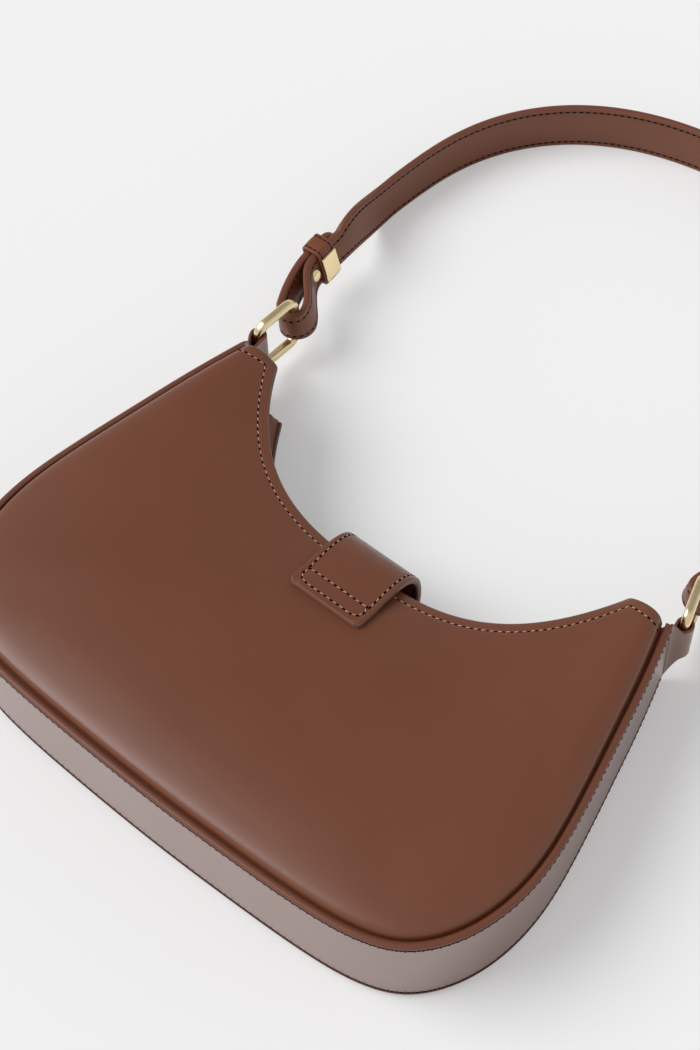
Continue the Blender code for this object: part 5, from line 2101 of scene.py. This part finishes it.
    def _facing(self, side: Side) -> None:
        """Builds the strip of leather inside one panel's mouth, with its two seams.

        Args:
            side: The panel.
        """
        wall, radius = self._corner()
        depth = np.minimum(self.facing_depth, wall - radius)
        shares = np.linspace(0.0, 1.0, self.facing_rows) ** self.facing_row_power
        rows = [self.form.world(*self._facing_rows(side, depth * share)) for share in shares]
        hidden = self.form.horned(np.array(rows))
        ways = unit(np.cross(np.gradient(hidden, axis=0), np.gradient(hidden, axis=1)))
        ways *= -side.value * np.sign(ways[..., 2:])
        seen = hidden + ways * self.facing_leather
        settle(slab_piece(f"{side.word}_facing", hidden, seen, Finish.BACKING), "bag", "leather")
        last = self.facing_rows - 1
        station = np.arange(len(depth))
        sewn = slice(self.facing_seam_stop, -self.facing_seam_stop)
        for row, reach in zip(("upper", "lower"), self.facing_seams):
            share = np.minimum(reach / depth, reach / self.facing_depth + self.facing_seam_room)
            at = np.clip(share ** (1 / self.facing_row_power) * last, 0, last)
            low = np.floor(at).astype(int).clip(0, last - 1)
            part = (at - low)[:, None]
            spots = seen[low, station] * (1 - part) + seen[low + 1, station] * part
            DARK_SEAM.sew(f"{side.word}_facing_{row}_seam", spots[sewn], ways[low, station][sewn], "bag")

    def _stuff(self, side: Side) -> None:
        """Builds the foam pad that fills one panel's swell and the fibre board behind it.

        Args:
            side: The panel.
        """
        form = self.form
        leather = side.value * (form.panel_leather + form.gap)

        def pad_face(distance: Array) -> Array:
            """The heights of the leather's hidden face."""
            return form.face(form.panel_length() - distance, side)[1] - leather

        def board_face(distance: Array) -> Array:
            """The heights of the board's face by the pad."""
            return form.behind(distance, side, self.board_face)[1]

        pad = self._layer(f"{side.word}_foam_pad", side, pad_face, self.pad)
        settle(pad, "bag", "foam", f"{side.word}_padding")
        board = self._layer(f"{side.word}_fibre_board", side, board_face, self.board)
        settle(board, "bag", "board", f"{side.word}_board")

    def _layer(self, name: str, side: Side, face: Callable[[Array], Array], backing: Backing) -> Piece:
        """A layer behind one panel that stops short of the mouth, the groove and the horns' tops.

        Args:
            name: The piece's name.
            side: The panel that it lies behind.
            face: Gives its heights towards the panel, from distances to the mouth.
            backing: Its sizes and its finish.

        Returns:
            The piece.
        """
        form, thin = self.form, self.layer_edge_share
        length = form.panel_length()
        room = self._end_room() - backing.end
        first = np.minimum(backing.start, length * self.layer_start_share)
        last = length - np.minimum(self.layer_margin, length * self.layer_margin_share)
        upper, lower = [], []
        for share in np.linspace(0.0, 1.0, self.layer_rows):
            distance = first + (last - first) * share
            places, bottom = form.behind(distance, side, backing.depth)
            near = np.minimum(np.minimum(distance - first, last - distance), room)
            edge = np.clip(near / backing.taper, 0.0, 1.0)
            middle, half = (face(distance) + bottom) / 2, (face(distance) - bottom) / 2
            half = half * (thin + (1 - thin) * np.sqrt(edge * (2 - edge)))
            upper.append(form.horned(form.world(places, middle + half))[room > 0])
            lower.append(form.horned(form.world(places, middle - half))[room > 0])
        return slab_piece(name, np.array(upper), np.array(lower), backing.finish)


# Light and camera


@dataclass
class Studio:
    """A pale table, soft lamps and the camera."""

    camera_place: tuple[float, float, float] = (0.27121, -0.39944, 0.73573)
    camera_target: tuple[float, float, float] = (-0.03414, -0.04824, 0.0)
    camera_roll: float = -2.0
    focal_length: float = 72.0
    sensor_height: float = 36.0
    floor_colour: Colour = (0.88, 0.88, 0.88)
    floor_glow: float = 0.875
    floor_glow_share: float = 0.30
    floor_size: float = 6.0
    floor_cloud: float = 0.4
    floor_shade: float = 0.995
    sky_strength: float = 0.62
    dim_strength: float = 0.32
    dim_way: tuple[float, float, float] = (-0.35, 0.40, 0.85)
    dim_inner_deg: float = 18.0
    dim_outer_deg: float = 52.0
    sun_way: tuple[float, float, float] = (-0.55, -0.35, 0.76)
    sun_strength: float = 2.05
    sun_spread_deg: float = 40.0

    def build(self) -> None:
        """Builds the floor, the lamps, the world and the camera."""
        self._floor()
        self._world()
        self._sun()
        self._camera()
        bpy.context.scene.view_settings.view_transform = "Standard"

    def _floor(self) -> None:
        """The table top."""
        half = self.floor_size / 2
        points = [(-half, -half, 0), (half, -half, 0), (half, half, 0), (-half, half, 0)]
        mesh = bpy.data.meshes.new("table")
        mesh.from_pydata(points, [], [[0, 1, 2, 3]])
        graph = Graph(bpy.data.materials.new("table_finish"))
        shaded = tuple(c * self.floor_shade for c in self.floor_colour)
        colour = graph.blend(graph.noise(self.floor_cloud), shaded, self.floor_colour)
        matt = graph.add("ShaderNodeBsdfDiffuse", values={"Color": colour})
        glow = graph.add("ShaderNodeEmission", values={"Color": (1.0, 1.0, 1.0), "Strength": self.floor_glow})
        seen = graph.add("ShaderNodeLightPath", output="Is Camera Ray")
        share = seen * self.floor_glow_share
        mixed = graph.add("ShaderNodeMixShader", values={0: share, 1: matt, 2: glow})
        graph.add("ShaderNodeOutputMaterial", values={"Surface": mixed})
        mesh.materials.append(graph.owner)
        in_scene("table", mesh)

    def _world(self) -> None:
        """Light from all round, dimmer on the side that the bag's upper face mirrors."""
        world = bpy.data.worlds.new("studio")
        bpy.context.scene.world = world
        graph = Graph(world)
        way = graph.add("ShaderNodeTexCoord", output="Generated")
        dim_way = tuple(Vector(self.dim_way).normalized())
        settings = {"operation": "DOT_PRODUCT"}
        toward = graph.add("ShaderNodeVectorMath", settings, {0: way, 1: dim_way}, "Value")
        values = {
            "Value": toward,
            "From Min": math.cos(math.radians(self.dim_outer_deg)),
            "From Max": math.cos(math.radians(self.dim_inner_deg)),
            "To Min": self.sky_strength,
            "To Max": self.dim_strength,
        }
        strength = graph.add("ShaderNodeMapRange", {"interpolation_type": "SMOOTHSTEP"}, values)
        light = graph.add("ShaderNodeBackground", values={"Color": (1.0, 1.0, 1.0), "Strength": strength})
        graph.add("ShaderNodeOutputWorld", values={"Surface": light})

    def _sun(self) -> None:
        """The broad soft light from the front left."""
        light = bpy.data.lights.new("soft_sun", "SUN")
        light.energy = self.sun_strength
        light.angle = math.radians(self.sun_spread_deg)
        lamp = in_scene("soft_sun", light)
        lamp.rotation_euler = Vector(self.sun_way).to_track_quat("Z", "Y").to_euler()

    def _camera(self) -> None:
        """The camera, at the photograph's angle."""
        data = bpy.data.cameras.new("camera")
        data.sensor_fit = "VERTICAL"
        data.sensor_height = self.sensor_height
        data.lens = self.focal_length
        camera = in_scene("camera", data)
        aim = Vector(self.camera_target) - Vector(self.camera_place)
        turn = aim.to_track_quat("-Z", "Y").to_matrix().to_4x4()
        roll = Matrix.Rotation(math.radians(self.camera_roll), 4, "Z")
        camera.matrix_world = Matrix.Translation(self.camera_place) @ turn @ roll
        bpy.context.scene.camera = camera


def main() -> None:
    """Builds the bag, piece by piece, and the studio round it."""
    logging.basicConfig(level=logging.INFO, format="%(message)s")
    form = BodyForm()
    left = RingEnd("left", -1, reach=0.0141, loop_lean=12.3, ring_lean=4.5, form=form)
    right = RingEnd("right", 1, reach=0.0099, loop_lean=4.0, ring_lean=16.5, form=form)
    Studio().build()
    panels = {side: Panel(form, side) for side in Side}
    for panel in panels.values():
        panel.build()
    Gusset(form, (right, left)).build()
    strap = StrapBand(form, (left, right), StrapLean((left, right)))
    strap.build()
    for end in (left, right):
        Ring(end).build()
        Keeper(end, strap).build()
        Stud(end, strap).build()
    ClosingTab(form).build()
    Inside(form, panels).build()


if __name__ == "__main__":
    main()
